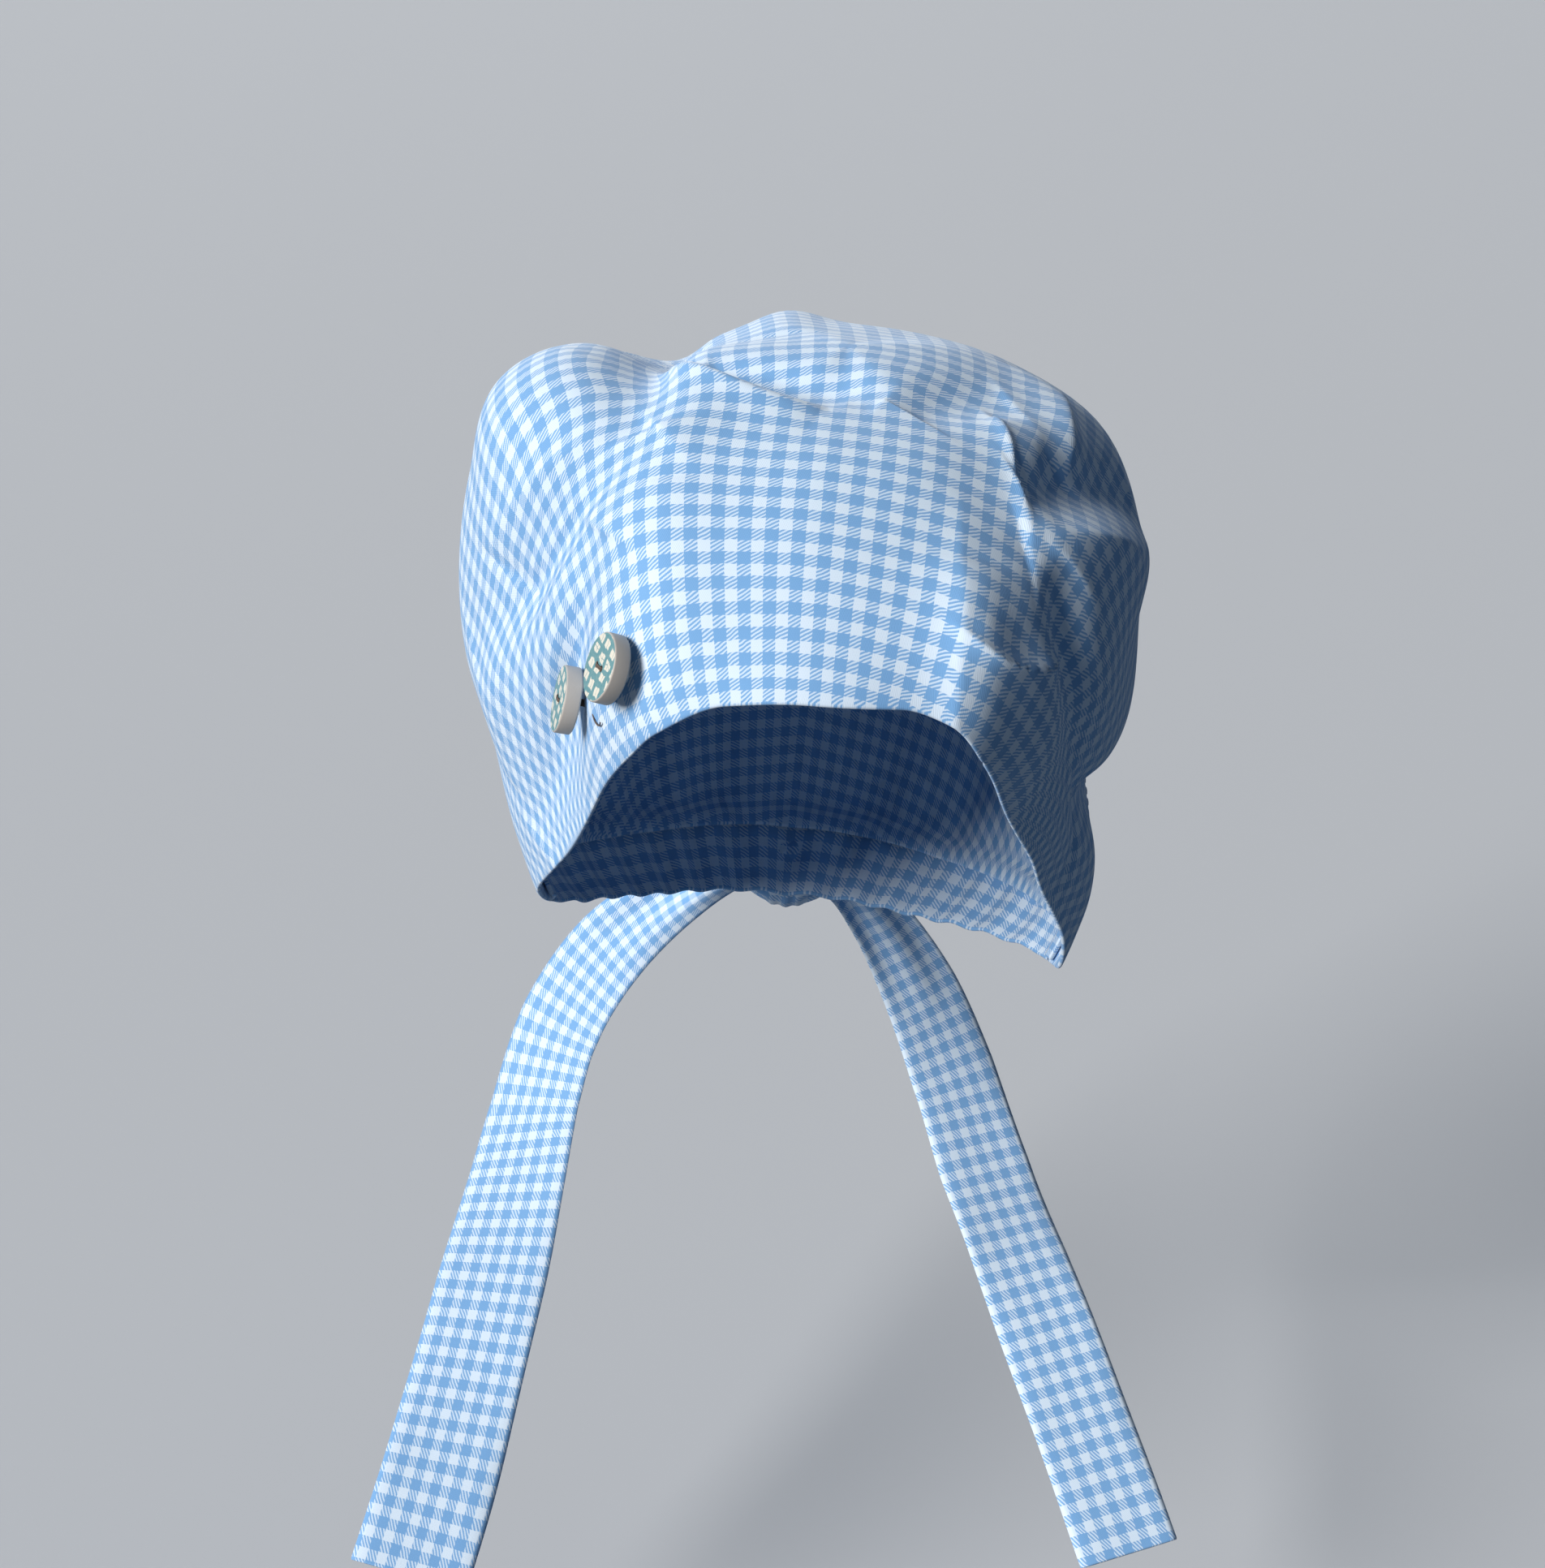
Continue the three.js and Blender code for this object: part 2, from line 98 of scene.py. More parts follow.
FINE_CREASES = [  # smaller ones, which only the cloth here has
    ("pressed line", (70, 59), (51.5, 46.5), (39.5, 26), 1.3, 1.7, 1.5, 1.3),
    ("filled beside the pressed line", (78, 52), (62, 44), (52, 34), 6, 6, 2.0, 1.8),
    ("smile line", (19, 17.5), (31, 10), (48, 9), 1.4, 2.0, 2.6, 1.3),
    ("above the smile", (24, 20), (33, 14), (42, 16), 5, 6, -0.9, 1.8),
    ("front turn", (30, 40), (19.5, 6), (22, -26), 24, 8, 4.0, 1.05),
    ("front top fold", (-92, 49), (-47, 57.5), (-6, 62.5), 2.0, 4.0, 2.6, 1.25),
    ("tucked behind it", (-92, 56), (-46, 65), (2, 66.5), 5, 4.5, -3.6, 1.5),
    ("lit ridge line", (44, 29), (61, 26), (84, 17), 2.5, 5, 1.6, 1.3),
    ("dark facet edge", (112, 44), (86, 45), (72, 37), 3, 7, 2.6, 1.2),
    ("deep right valley", (45, 24), (48, 6), (64, -20), 5, 5, -1.8, 1.6),
    ("left valley line", (-76, -6), (-57, 17), (-47, 44), 6, 7, -2.8, 1.5),
    ("left band line", (-66, -26), (-52, -6), (-46, 16), 4, 5, -1.2, 1.6),
    ("left wrinkle", (-75, -2), (-57, 20), (-48, 44), 1.5, 1.9, 0.9, 1.5),
    ("left wrinkle above", (-79, 2), (-63, 24), (-52, 42), 1.6, 1.9, 0.7, 1.5),
    ("left wrinkle below", (-70, -10), (-53, 14), (-45, 36), 1.5, 1.8, 0.7, 1.5),
    ("left band wrinkle", (-62, -30), (-50, -8), (-45, 12), 1.5, 1.8, 0.6, 1.5),
]
MIDDLE = np.array([0.0, 0.0, -HEAD_MIDDLE])


def cubic(a, b, c, d, t):
    """Smooth curve between b and c, at the share t of the way."""
    return 0.5 * (2 * b + (c - a) * t + (2 * a - 5 * b + 4 * c - d) * t**2 + (3 * b - a - 3 * c + d) * t**3)


def along_table(rows, x):
    """Smooth curve through a two-column table, never overshooting a row."""
    x = np.asarray(x, float)
    xs, ys = (np.array(c, float) for c in zip(*rows))
    step = np.diff(ys) / np.diff(xs)
    before, after = step[:-1], step[1:]
    same = before * after > 0
    inner = np.where(same, 2 * before * after / np.where(same, before + after, 1), 0)
    slope = np.concatenate([inner[:1], inner, inner[-1:]])
    i = np.clip(np.searchsorted(xs, x, side="right") - 1, 0, len(xs) - 2)
    span = xs[i + 1] - xs[i]
    t = np.clip((x - xs[i]) / span, 0, 1)
    h = t * t * (3 - 2 * t)
    bend = slope[i] * span * t * (1 - t) ** 2 - slope[i + 1] * span * t * t * (1 - t)
    return ys[i] + (ys[i + 1] - ys[i]) * h + bend


def section_size(bearing, tilt):
    """How far the unfolded cap is from its middle, read smoothly from the table of sections."""
    columns, top = len(SECTION_BEARINGS), len(SECTION_SIZES) - 1
    a = ((bearing - SECTION_BEARINGS[0]) % 360) / 30
    i = np.floor(a).astype(int)
    b = np.clip((tilt + 75) / 15, 0, top - 1e-9)
    j = np.floor(b).astype(int)

    def across(row):
        past = row > top
        line = np.where(past, 2 * top - row, np.maximum(row, 0))
        turn = np.where(past, columns // 2, 0)
        at = [SECTION_SIZES[line, (i + k + turn) % columns] for k in (-1, 0, 1, 2)]
        return cubic(*at, a - i)

    return cubic(across(j - 1), across(j), across(j + 1), across(j + 2), b - j)


def way_out(bearing, tilt):
    """The direction from the middle at a bearing and a tilt, both in degrees."""
    a, e = np.radians(bearing), np.radians(tilt)
    return np.stack([np.sin(a) * np.cos(e), -np.cos(a) * np.cos(e), np.sin(e)], -1)


def unfolded(bearing, tilt):
    return way_out(bearing, tilt) * section_size(bearing, tilt)[..., None] + MIDDLE


def angles(out):
    """The bearing and the tilt of directions from the middle."""
    bearing = np.degrees(np.arctan2(out[..., 0], -out[..., 1]))
    return bearing, np.degrees(np.arcsin(out[..., 2] / np.linalg.norm(out, axis=-1)))


def fold_chain(start, middle, end):
    """Points on the unfolded cap along a rounded line through three places."""
    p, q, r = (way_out(*np.array(x, float)) for x in (start, middle, end))
    pull = 2 * q - 0.5 * p - 0.5 * r
    t = np.linspace(0, 1, 24)[:, None]
    way = p * (1 - t) ** 2 + 2 * t * (1 - t) * pull + r * t * t
    way /= np.linalg.norm(way, axis=1, keepdims=True)
    return way * section_size(*angles(way))[:, None] + MIDDLE


def near_line(points, start, middle, end, left, right, fade=0.5, crest=2):
    """How near points are to a fold's line, 1 on it and nought beside it and past its ends, and its way."""
    chain = fold_chain(start, middle, end)
    out = points - MIDDLE
    out = out / np.linalg.norm(out, axis=-1, keepdims=True)
    nearest = np.full(points.shape[:-1], np.inf)
    side = np.ones(nearest.shape)
    place = np.zeros(nearest.shape)
    runs = np.zeros(points.shape)
    for k in range(len(chain) - 1):
        step = chain[k + 1] - chain[k]
        to = points - chain[k]
        share = to @ step / (step @ step)
        off = np.linalg.norm(to - np.clip(share, 0, 1)[..., None] * step, axis=-1)
        closer = off < nearest
        nearest = np.where(closer, off, nearest)
        side = np.where(closer, (np.cross(out, step) * to).sum(-1), side)
        place = np.where(closer, (k + share) / (len(chain) - 1), place)
        runs[closer] = step
    ends = np.sin(np.pi * np.clip(place, 0, 1)) ** fade
    return ends * np.exp(-((nearest / np.where(side > 0, left, right)) ** crest)), runs


FINE_FADE = 0.9  # how soon a crease that has a crest of its own dies away towards its ends


def fold_height(points, folds):
    """How far each point of the cloth is raised by the folds that pass near it."""
    total = np.zeros(points.shape[:-1])
    for _, start, middle, end, left, right, height, *crest in folds:
        form = (FINE_FADE, *crest) if crest else ()
        near, _ = near_line(points, start, middle, end, left, right, *form)
        total += height * near
    return total


def tilt_at_height(bearing, height):
    """The tilt at which the unfolded cap reaches a height, found by halving."""
    low, high = np.full(np.shape(bearing), -80.0), np.full(np.shape(bearing), 40.0)
    for _ in range(30):
        tilt = (low + high) / 2
        below = unfolded(bearing, tilt)[..., 2] < height
        low, high = np.where(below, tilt, low), np.where(below, high, tilt)
    return (low + high) / 2


def cloth_face(bearing, tilt, folds, extra=0.0):
    """Points of the outer face with its folds."""
    p = unfolded(bearing, tilt)
    return p + way_out(bearing, tilt) * (fold_height(p, folds) + extra)[..., None]


# How the crosswise yarn lies, as its turn from level, and how firmly each part of the panel keeps the check's
# true size. The cloth gives at the valleys beside the brow, and hangs turned at both sides.
YARN_TURN = [
    (-180, 180), (-120, 124), (-90, 98), (-72, 88), (-62, 64), (-48, 46), (-36, 37), (-25, 26), (-12, 14),
    (0, 3), (12, -6), (25, -22), (34, -34), (44, -38), (52, -56), (60, -84), (90, -94), (120, -124),
    (180, -180),
]
FIRMNESS = [
    (-180, 0.45), (-80, 0.45), (-64, 0.3), (-54, 0.3), (-44, 1), (0, 1), (36, 1), (46, 0.3), (54, 0.3),
    (66, 0.45), (180, 0.45),
]
BUNCHED = [  # lines across which cloth is pushed together: three places, both widths, and how much more of it
    ("left valley", (-48, 52), (-57, 20), (-78, -12), 12, 13, 1.3),
    ("left puff", (-100, 62), (-76, 32), (-74, 0), 24, 20, 0.55),
    ("left band", (-47, 22), (-52, -6), (-64, -34), 7, 8, 0.7),
]
FLAT_STEP = 6.0  # degrees between the columns of the coarse net that is spread out flat
FLAT_ROWS = 22
FLAT_ROUNDS = 80
FLAT_RADIUS = 82.0  # of the round top from which the first guess is unrolled
YARN_PULL = 0.5  # how strongly the yarns are drawn towards their turn


def net_triangles(columns, rows):
    """The numbering of a net whose first row is one point at the top, and the triangles over it."""
    index = np.arange(columns * rows).reshape(columns, rows)
    index[:, 0] = 0
    triangles = []
    for i in range(columns):
        j = (i + 1) % columns
        for k in range(rows - 1):
            a, b, c, d = index[i, k], index[j, k], index[j, k + 1], index[i, k + 1]
            if a != b:
                triangles.append((a, b, c))
            triangles.append((a, c, d))
    return index, np.array(triangles)


def cloth_wishes(centre, east, north):
    """How firm the cloth is at places on the cap, which way its yarns should lie, and how it is bunched."""
    around, high = angles(centre)
    over_top = np.clip((high - 45) / 25, 0, 1)
    near_rim = np.clip((12 - high) / 12, 0, 1)
    firm = along_table(FIRMNESS, around)
    firm = firm * (1 + near_rim * np.where(firm > 0.6, 0.6, -0.5))
    firm = firm * (1 - over_top) + over_top
    lean = np.radians(along_table(YARN_TURN, around))
    cos, sin = np.cos(lean), np.sin(lean)
    wanted = np.stack([np.stack([cos, -sin], -1), np.stack([sin, cos], -1)], 1)
    bunch = np.zeros((len(centre), 2, 2)) + np.eye(2)
    for _, start, middle, end, left, right, more in BUNCHED:
        near, runs = near_line(centre + MIDDLE, start, middle, end, left, right)
        across = np.stack([-(runs * north).sum(1), (runs * east).sum(1)], -1)
        across /= np.linalg.norm(across, axis=1, keepdims=True)
        bunch += (more * near)[:, None, None] * across[:, :, None] * across[:, None, :]
    return firm, wanted, bunch


def lay_flat(points):
    """Spreads the curved net out flat, with as little stretch as cloth has. Its flat places are in mm."""
    index, triangles = net_triangles(*points.shape[:2])
    used, inverse = np.unique(triangles, return_inverse=True)
    tris = inverse.reshape(-1, 3)
    p = points.reshape(-1, 3)[used]
    e1, e2 = p[tris[:, 1]] - p[tris[:, 0]], p[tris[:, 2]] - p[tris[:, 0]]
    normal = np.cross(e1, e2)
    area = np.linalg.norm(normal, axis=1) / 2
    normal = normal / (2 * area[:, None])
    centre = p[tris].mean(1) - MIDDLE
    normal *= np.sign((normal * centre).sum(1))[:, None]
    east = np.stack([-centre[:, 1], centre[:, 0], np.zeros(len(centre))], -1)
    east -= normal * (east * normal).sum(1)[:, None]
    east /= np.maximum(np.linalg.norm(east, axis=1, keepdims=True), 1e-9)
    north = np.cross(normal, east)
    flat = np.stack([np.stack([(e * x).sum(1) for x in (east, north)], -1) for e in (e1, e2)], 1)
    slope = np.linalg.inv(flat)
    grad = np.stack([-slope[:, :, 0] - slope[:, :, 1], slope[:, :, 0], slope[:, :, 1]], -1)
    firm, wanted, bunch = cloth_wishes(centre, east, north)
    firm = area * firm
    local = np.einsum("tik,til->tkl", grad, grad) * firm[:, None, None]
    stiff = np.zeros((len(used), len(used)))
    for a in range(3):
        for b in range(3):
            np.add.at(stiff, (tris[:, a], tris[:, b]), local[:, a, b])
    stiff[0, 0] += 1.0  # holds the top in its place
    solve = np.linalg.inv(stiff)
    bearing, tilt = (np.radians(x) for x in angles(p - MIDDLE))
    uv = ((np.pi / 2 - tilt) * FLAT_RADIUS)[:, None] * np.stack([np.sin(bearing), -np.cos(bearing)], -1)
    for _ in range(FLAT_ROUNDS):
        stretch = np.einsum("tik,tkj->tij", grad, uv[tris])
        u, _, vt = np.linalg.svd(bunch @ stretch + YARN_PULL * wanted)
        flip = np.linalg.det(u @ vt) < 0
        u[flip, :, 1] *= -1
        pull = np.einsum("tik,tij->tkj", grad, bunch @ u @ vt) * firm[:, None, None]
        total = np.zeros(uv.shape)
        for a in range(3):
            np.add.at(total, tris[:, a], pull[:, a])
        uv = solve @ total
    whole = np.zeros((index.size, 2))
    whole[used] = uv
    return whole[index]


def finer(net, columns, rows):
    """Reads the coarse net at fractional columns and rows, smoothly both ways and on past its last row."""
    nc, nr = net.shape[:2]
    i = np.floor(columns).astype(int)
    j = np.clip(np.floor(rows).astype(int), 0, nr - 2)
    s, t = (columns - i)[..., None], np.minimum(rows - j, 1)[..., None]
    past = np.maximum(rows - (nr - 1), 0)[..., None]
    lines = []
    for m in (-1, 0, 1, 2):
        row = np.clip(j + m, 0, nr - 1)
        lines.append(cubic(*[net[(i + k) % nc, row] for k in (-1, 0, 1, 2)], s))
    return cubic(*lines, t) + past * (lines[2] - lines[1])


def grid_faces(columns, rows, ring=False):
    """Four-sided faces over a grid of points, closed round its rows, or in a ring round its columns."""
    i = np.arange(columns if ring else columns - 1)
    k = np.arange(rows - 1 if ring else rows)
    j, l = (i + 1) % columns, (k + 1) % rows
    corners = [a[:, None] * rows + b for a, b in ((i, k), (j, k), (j, l), (i, l))]
    return np.stack(corners, -1).reshape(-1, 4).tolist()


def mesh_piece(name, points, faces, places=None):
    """A mesh of points in mm, its faces turned outwards, with its places on the flat cloth as its UV map."""
    mesh = bpy.data.meshes.new(name)
    mesh.from_pydata((np.asarray(points) * 0.001).tolist(), [], faces)
    if places is not None:
        layer = mesh.uv_layers.new(name="cloth")
        corner = np.empty(len(mesh.loops), dtype=np.int32)
        mesh.loops.foreach_get("vertex_index", corner)
        layer.data.foreach_set("uv", places[corner].astype(np.float32).ravel())
    work = bmesh.new()
    work.from_mesh(mesh)
    bmesh.ops.recalc_face_normals(work, faces=work.faces[:])
    if work.calc_volume(signed=True) < 0:
        bmesh.ops.reverse_faces(work, faces=work.faces[:])
    work.to_mesh(mesh)
    work.free()
    mesh.shade_smooth()
    piece = bpy.data.objects.new(name, mesh)
    bpy.context.scene.collection.objects.link(piece)
    return piece


INNER_STEP = 3  # the inner face has one row for this many of the outer face's
EDGE_TURNS = (0.25, 0.5, 0.75)  # half turns at which the rolled edge has its rows


def rolled_edge(line, away, normal, turns):
    """Rows of points that carry the cloth round its edge, from one face to the other."""
    away = away / np.linalg.norm(away, axis=-1, keepdims=True)
    reach = PANEL_WALL / 2
    rows = []
    for a in [turn * math.pi for turn in turns]:
        rows.append(line + away * math.sin(a) * reach - normal * (1 - math.cos(a)) * reach)
    return np.stack(rows, 1)


def cloth_shell(name, outer, places, ring):
    """A closed shell of cloth: fine outer face, rolled edges, plainer inner face."""
    columns, rows = outer.shape[:2]
    if ring:
        along = np.roll(outer, -1, 0) - np.roll(outer, 1, 0)
    else:
        along = np.gradient(outer, axis=0)
    down = np.gradient(outer, axis=1)
    normal = np.cross(down, along)
    normal /= np.maximum(np.linalg.norm(normal, axis=-1, keepdims=True), 1e-9)
    normal *= np.sign(((outer - MIDDLE) * normal).sum(-1).mean())
    if ring:
        normal[:, 0] = (0, 0, 1)
    first = 1 if ring else 0
    picks = list(range(rows - 1, 0, -INNER_STEP)) + ([] if ring else [0])
    strips = [
        outer[:, first:],
        rolled_edge(outer[:, -1], down[:, -1], normal[:, -1], EDGE_TURNS),
        outer[:, picks] - normal[:, picks] * PANEL_WALL,
    ]
    spots = [places[:, first:], places[:, [-1] * len(EDGE_TURNS)], places[:, picks]]
    if not ring:
        strips.append(rolled_edge(outer[:, 0], -down[:, 0], normal[:, 0], EDGE_TURNS[::-1]))
        spots.append(places[:, [0] * len(EDGE_TURNS)])
    grid = np.concatenate(strips, 1)
    wide = grid.shape[1]
    points = grid.reshape(-1, 3)
    spots = np.concatenate(spots, 1).reshape(-1, 2)
    faces = grid_faces(columns, wide, ring)
    if ring:
        poles = [outer[:, 0].mean(0), grid[:, -1].mean(0) + (0, 0, 0.02)]
        points = np.concatenate([points, poles])
        spots = np.concatenate([spots, [places[:, 0].mean(0)], [places[:, picks[-1]].mean(0)]])
        n = columns * wide
        for p in range(columns):
            q = (p + 1) % columns
            faces.append((n, q * wide, p * wide))
            faces.append((n + 1, p * wide + wide - 1, q * wide + wide - 1))
    else:
        faces.append(range(wide))
        faces.append(range(columns * wide - 1, (columns - 1) * wide - 1, -1))
    return mesh_piece(name, points, faces, spots)


def panel_edge(bearing):
    """The tilt of the panel's edge: the rim in front of the side corners, the pouch seam behind them."""
    behind = np.abs(bearing)
    rim = tilt_at_height(bearing, along_table(FRONT_EDGE, bearing))
    past = np.clip((behind - SIDE_CORNER) / CORNER_TURN, 0, 1)
    return rim * (1 - past) + along_table(BACK_SEAM, behind) * past


def rows_down(edge, rows):
    """Tilts from the top down to an edge."""
    return 90 + (edge[:, None] - 90) * np.linspace(0, 1, rows + 1)


flat_bearings = np.arange(-180, 180, FLAT_STEP)
flat_tilts = rows_down(panel_edge(flat_bearings), FLAT_ROWS)
panel_flat = lay_flat(cloth_face(flat_bearings[:, None], flat_tilts, PANEL_FOLDS))

PANEL_ROWS = 176
RIM_RADIUS = 90.0  # about how far the rim is from the middle
BACK_START = 112  # the bearing behind which the columns lie wider apart
corner_columns = SIDE_CORNER + np.linspace(0, CORNER_TURN, 13)
front_columns = np.concatenate([
    np.arange(-BACK_START, -64, 0.9),
    np.arange(-64, 76, 0.6),
    np.linspace(76, BACK_START, 41),
    -corner_columns,
    corner_columns,
])
back_columns = np.linspace(BACK_START, 180, 28)[1:]
panel_bearings = np.concatenate([
    np.unique(np.round(front_columns, 2)),
    back_columns,
    -back_columns[:-1][::-1],
])
rolled = np.degrees(PANEL_WALL / 2 / RIM_RADIUS)
panel_end = panel_edge(panel_bearings) + rolled * (np.abs(panel_bearings) <= SIDE_CORNER)
panel_tilts = rows_down(panel_end, PANEL_ROWS)
panel_points = cloth_face(panel_bearings[:, None], panel_tilts, PANEL_FOLDS + FINE_CREASES)
flat_end = np.interp(panel_bearings, flat_bearings, flat_tilts[:, -1], period=360)
panel_places = finer(
    panel_flat,
    (panel_bearings[:, None] + 180) / FLAT_STEP,
    (90 - panel_tilts) / (90 - flat_end)[:, None] * FLAT_ROWS,
)
front_panel = cloth_shell("gingham_front_panel", panel_points, panel_places, ring=True)


def feed(tree, socket, value):
    """Links a socket to the output that feeds it, or sets its own value."""
    if isinstance(value, bpy.types.NodeSocket):
        tree.links.new(value, socket)
    else:
        socket.default_value = value


def add_node(tree, kind, inputs=None, **settings):
    """One shader node with its settings and its inputs, each by name or number."""
    node = tree.nodes.new("ShaderNode" + kind)
    for key, value in settings.items():
        setattr(node, key, value)
    for key, value in (inputs or {}).items():
        feed(tree, node.inputs[key], value)
    return node


def maths(tree, operation, *values, clamp=False):
    return add_node(tree, "Math", dict(enumerate(values)), operation=operation, use_clamp=clamp).outputs[0]


def noise(tree, place, scale, detail, dimensions="3D"):
    inputs = {"Vector": place, "Scale": scale, "Detail": detail}
    return add_node(tree, "TexNoise", inputs, noise_dimensions=dimensions).outputs[0]


def drift(tree, place, scale, detail, reach, dimensions="3D"):
    """Noise that wanders round nought, for lines that sway a little."""
    centred = maths(tree, "SUBTRACT", noise(tree, place, scale, detail, dimensions), 0.5)
    return maths(tree, "MULTIPLY", centred, reach)


def map_range(tree, value, inputs, kind="LINEAR"):
    return add_node(tree, "MapRange", {"Value": value, **inputs}, interpolation_type=kind).outputs["Result"]


def mixed(tree, share, first, second, blend="MIX"):
    """One colour mixed into another by a share."""
    inputs = {"Factor": share, "A": first, "B": second}
    return add_node(tree, "Mix", inputs, data_type="RGBA", blend_type=blend).outputs["Result"]


def off_stripe(tree, value, period):
    """How far a value is from the middle of the stripe it falls in, as a share of the period."""
    turn = maths(tree, "FRACT", maths(tree, "DIVIDE", value, period))
    return maths(tree, "ABSOLUTE", maths(tree, "SUBTRACT", turn, 0.5))


def wave(tree, value, pitch):
    """Swings between 0 and 1, once in each pitch."""
    swing = maths(tree, "SINE", maths(tree, "MULTIPLY", value, 2 * math.pi / pitch))
    return maths(tree, "MULTIPLY_ADD", swing, 0.5, 0.5)


def node_group(name, inputs, outputs):
    """An empty group with named sockets: the group, the sockets it reads from and the ones it feeds."""
    group = bpy.data.node_groups.new(name, "ShaderNodeTree")
    for side, sockets in (("INPUT", inputs), ("OUTPUT", outputs)):
        for label, kind in sockets.items():
            group.interface.new_socket(name=label, in_out=side, socket_type="NodeSocket" + kind)
    return group, group.nodes.new("NodeGroupInput").outputs, group.nodes.new("NodeGroupOutput").inputs


def new_material(name):
    material = bpy.data.materials.new(name)
    material.use_nodes = True
    return material, material.node_tree


def dress_shader(tree, colour, roughness, height, strength, distance):
    """Feeds a shader its colour, its roughness and the bump of a height. Returns the shader's inputs."""
    shader = tree.nodes["Principled BSDF"].inputs
    bump = add_node(tree, "Bump", {"Height": height, "Strength": strength, "Distance": distance})
    feed(tree, shader["Base Color"], colour)
    feed(tree, shader["Roughness"], roughness)
    feed(tree, shader["Normal"], bump.outputs[0])
    return shader


TWILL_PITCH = 0.38  # millimetres from one steep twill line to the next
DASH_PITCH = 0.82  # millimetres from one slanting row of dashes to the next
YARN_SWAY = 0.35  # millimetres that the yarns wander in all
# painted shade: the colour multiplied into the twill's furrows to darken them
FURROW_SHADE = (0.80, 0.86, 0.93, 1)


def gingham_weave():
    """Yarn-dyed check in twill: blue and white squares, half-tone squares with slanting rows of dashes."""
    group, given, made = node_group(
        "gingham_twill",
        {"Place": "Vector", "White": "Color", "Blue": "Color", "Across": "Float", "Down": "Float"},
        {"Colour": "Color", "Height": "Float", "Roughness": "Float"},
    )
    calc = partial(maths, group)
    place = given["Place"]
    flat = add_node(group, "SeparateXYZ", {0: place}).outputs
    sway = drift(group, place, 0.35, 2.0, YARN_SWAY, "2D")
    u = calc("ADD", flat[0], sway)
    v = calc("SUBTRACT", flat[1], sway)

    def soft_step(value, low, high):
        return map_range(group, value, {"From Min": low, "From Max": high}, "SMOOTHSTEP")

    blue_warp = soft_step(off_stripe(group, u, given["Across"]), 0.230, 0.256)
    blue_weft = soft_step(off_stripe(group, v, given["Down"]), 0.230, 0.256)
    steep = calc("ADD", calc("MULTIPLY", u, 0.9), calc("MULTIPLY", v, 0.42))
    twill = wave(group, steep, TWILL_PITCH)
    slanting = calc("SUBTRACT", calc("MULTIPLY", v, 0.86), calc("MULTIPLY", u, 0.5))
    dash = calc("MULTIPLY", wave(group, slanting, DASH_PITCH), calc("MULTIPLY_ADD", twill, 0.5, 0.5))
    both = calc("MULTIPLY", blue_warp, blue_weft)
    one = calc("ABSOLUTE", calc("SUBTRACT", blue_warp, blue_weft))
    half_tone = calc("MULTIPLY", one, calc("MULTIPLY_ADD", soft_step(dash, 0.12, 0.60), 0.95, 0.12))
    check = mixed(group, calc("ADD", both, half_tone, clamp=True), given["White"], given["Blue"])
    # painted shade: the furrows between the twill lines are darkened in the colour, white and blue alike
    furrow = calc("MULTIPLY", calc("SUBTRACT", 1.0, twill), 0.5)
    fuzz = noise(group, place, 2.6, 3.0, "2D")
    feed(group, made["Colour"], mixed(group, furrow, check, FURROW_SHADE, "MULTIPLY"))
    feed(group, made["Height"], calc("ADD", calc("MULTIPLY", twill, 0.6), calc("MULTIPLY", fuzz, 0.6)))
    feed(group, made["Roughness"], calc("MULTIPLY_ADD", fuzz, 0.16, 0.72))
    return group


panel_cloth, cloth_tree = new_material("cotton_gingham_panel")
weave = add_node(
    cloth_tree,
    "Group",
    {
        "Place": add_node(cloth_tree, "UVMap", uv_map="cloth").outputs[0],
        "White": (0.70, 0.81, 0.93, 1),
        "Blue": (0.19, 0.40, 0.70, 1),
        "Across": CHECK_ACROSS,
        "Down": CHECK_DOWN,
    },
    node_tree=gingham_weave(),
).outputs
cloth_shader = dress_shader(cloth_tree, weave["Colour"], weave["Roughness"], weave["Height"], 0.5, 0.0001)
cloth_shader["Specular IOR Level"].default_value = 0.25
cloth_shader["Sheen Weight"].default_value = 0.25
cloth_shader["Sheen Roughness"].default_value = 0.55
front_panel.data.materials.append(panel_cloth)
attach(front_panel, "root")
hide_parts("front_panel")


# Gathered pouch
# The back of the crown: a second piece of the same cloth, cut wider than its place and drawn into gathers
# along the seam to the front panel and along the casing below.
CASING_HEIGHT = 17.0
TUCK = 4.0  # degrees that a seam allowance reaches under the piece outside it
UNDER = -2.1  # millimetres inward from the outer face of that piece
SIDE_LAP = 3.0  # degrees that the pieces behind reach forward under the panel
SIDE_FADE = 12.0  # degrees behind the side corner over which gathers and puckers open
SEAM_GAP = 0.12  # degrees between two faces that meet at a seam
POUCH_RADIUS = 92.0
POUCH_FULLNESS = 1.3  # how much wider the cloth is than its place
GATHERS = 17  # in a whole turn
GATHER_HEIGHT = 1.9
GATHER_REACH = 16.0  # degrees from a seam within which they die away


def from_front(turn):
    """A bearing counted on past 180, as one that runs from the front both ways."""
    return np.where(turn > 180, turn - 360, turn)


def casing_top(bearing):
    return tilt_at_height(bearing, along_table(FRONT_EDGE, bearing) + CASING_HEIGHT)


def run_length(points):
    """How far along its line each point is."""
    steps = np.linalg.norm(np.diff(points, axis=-2), axis=-1)
    return np.concatenate([np.zeros_like(steps[..., :1]), np.cumsum(steps, -1)], -1)


def flat_places(across, down):
    return np.stack(np.broadcast_arrays(across, down), -1)


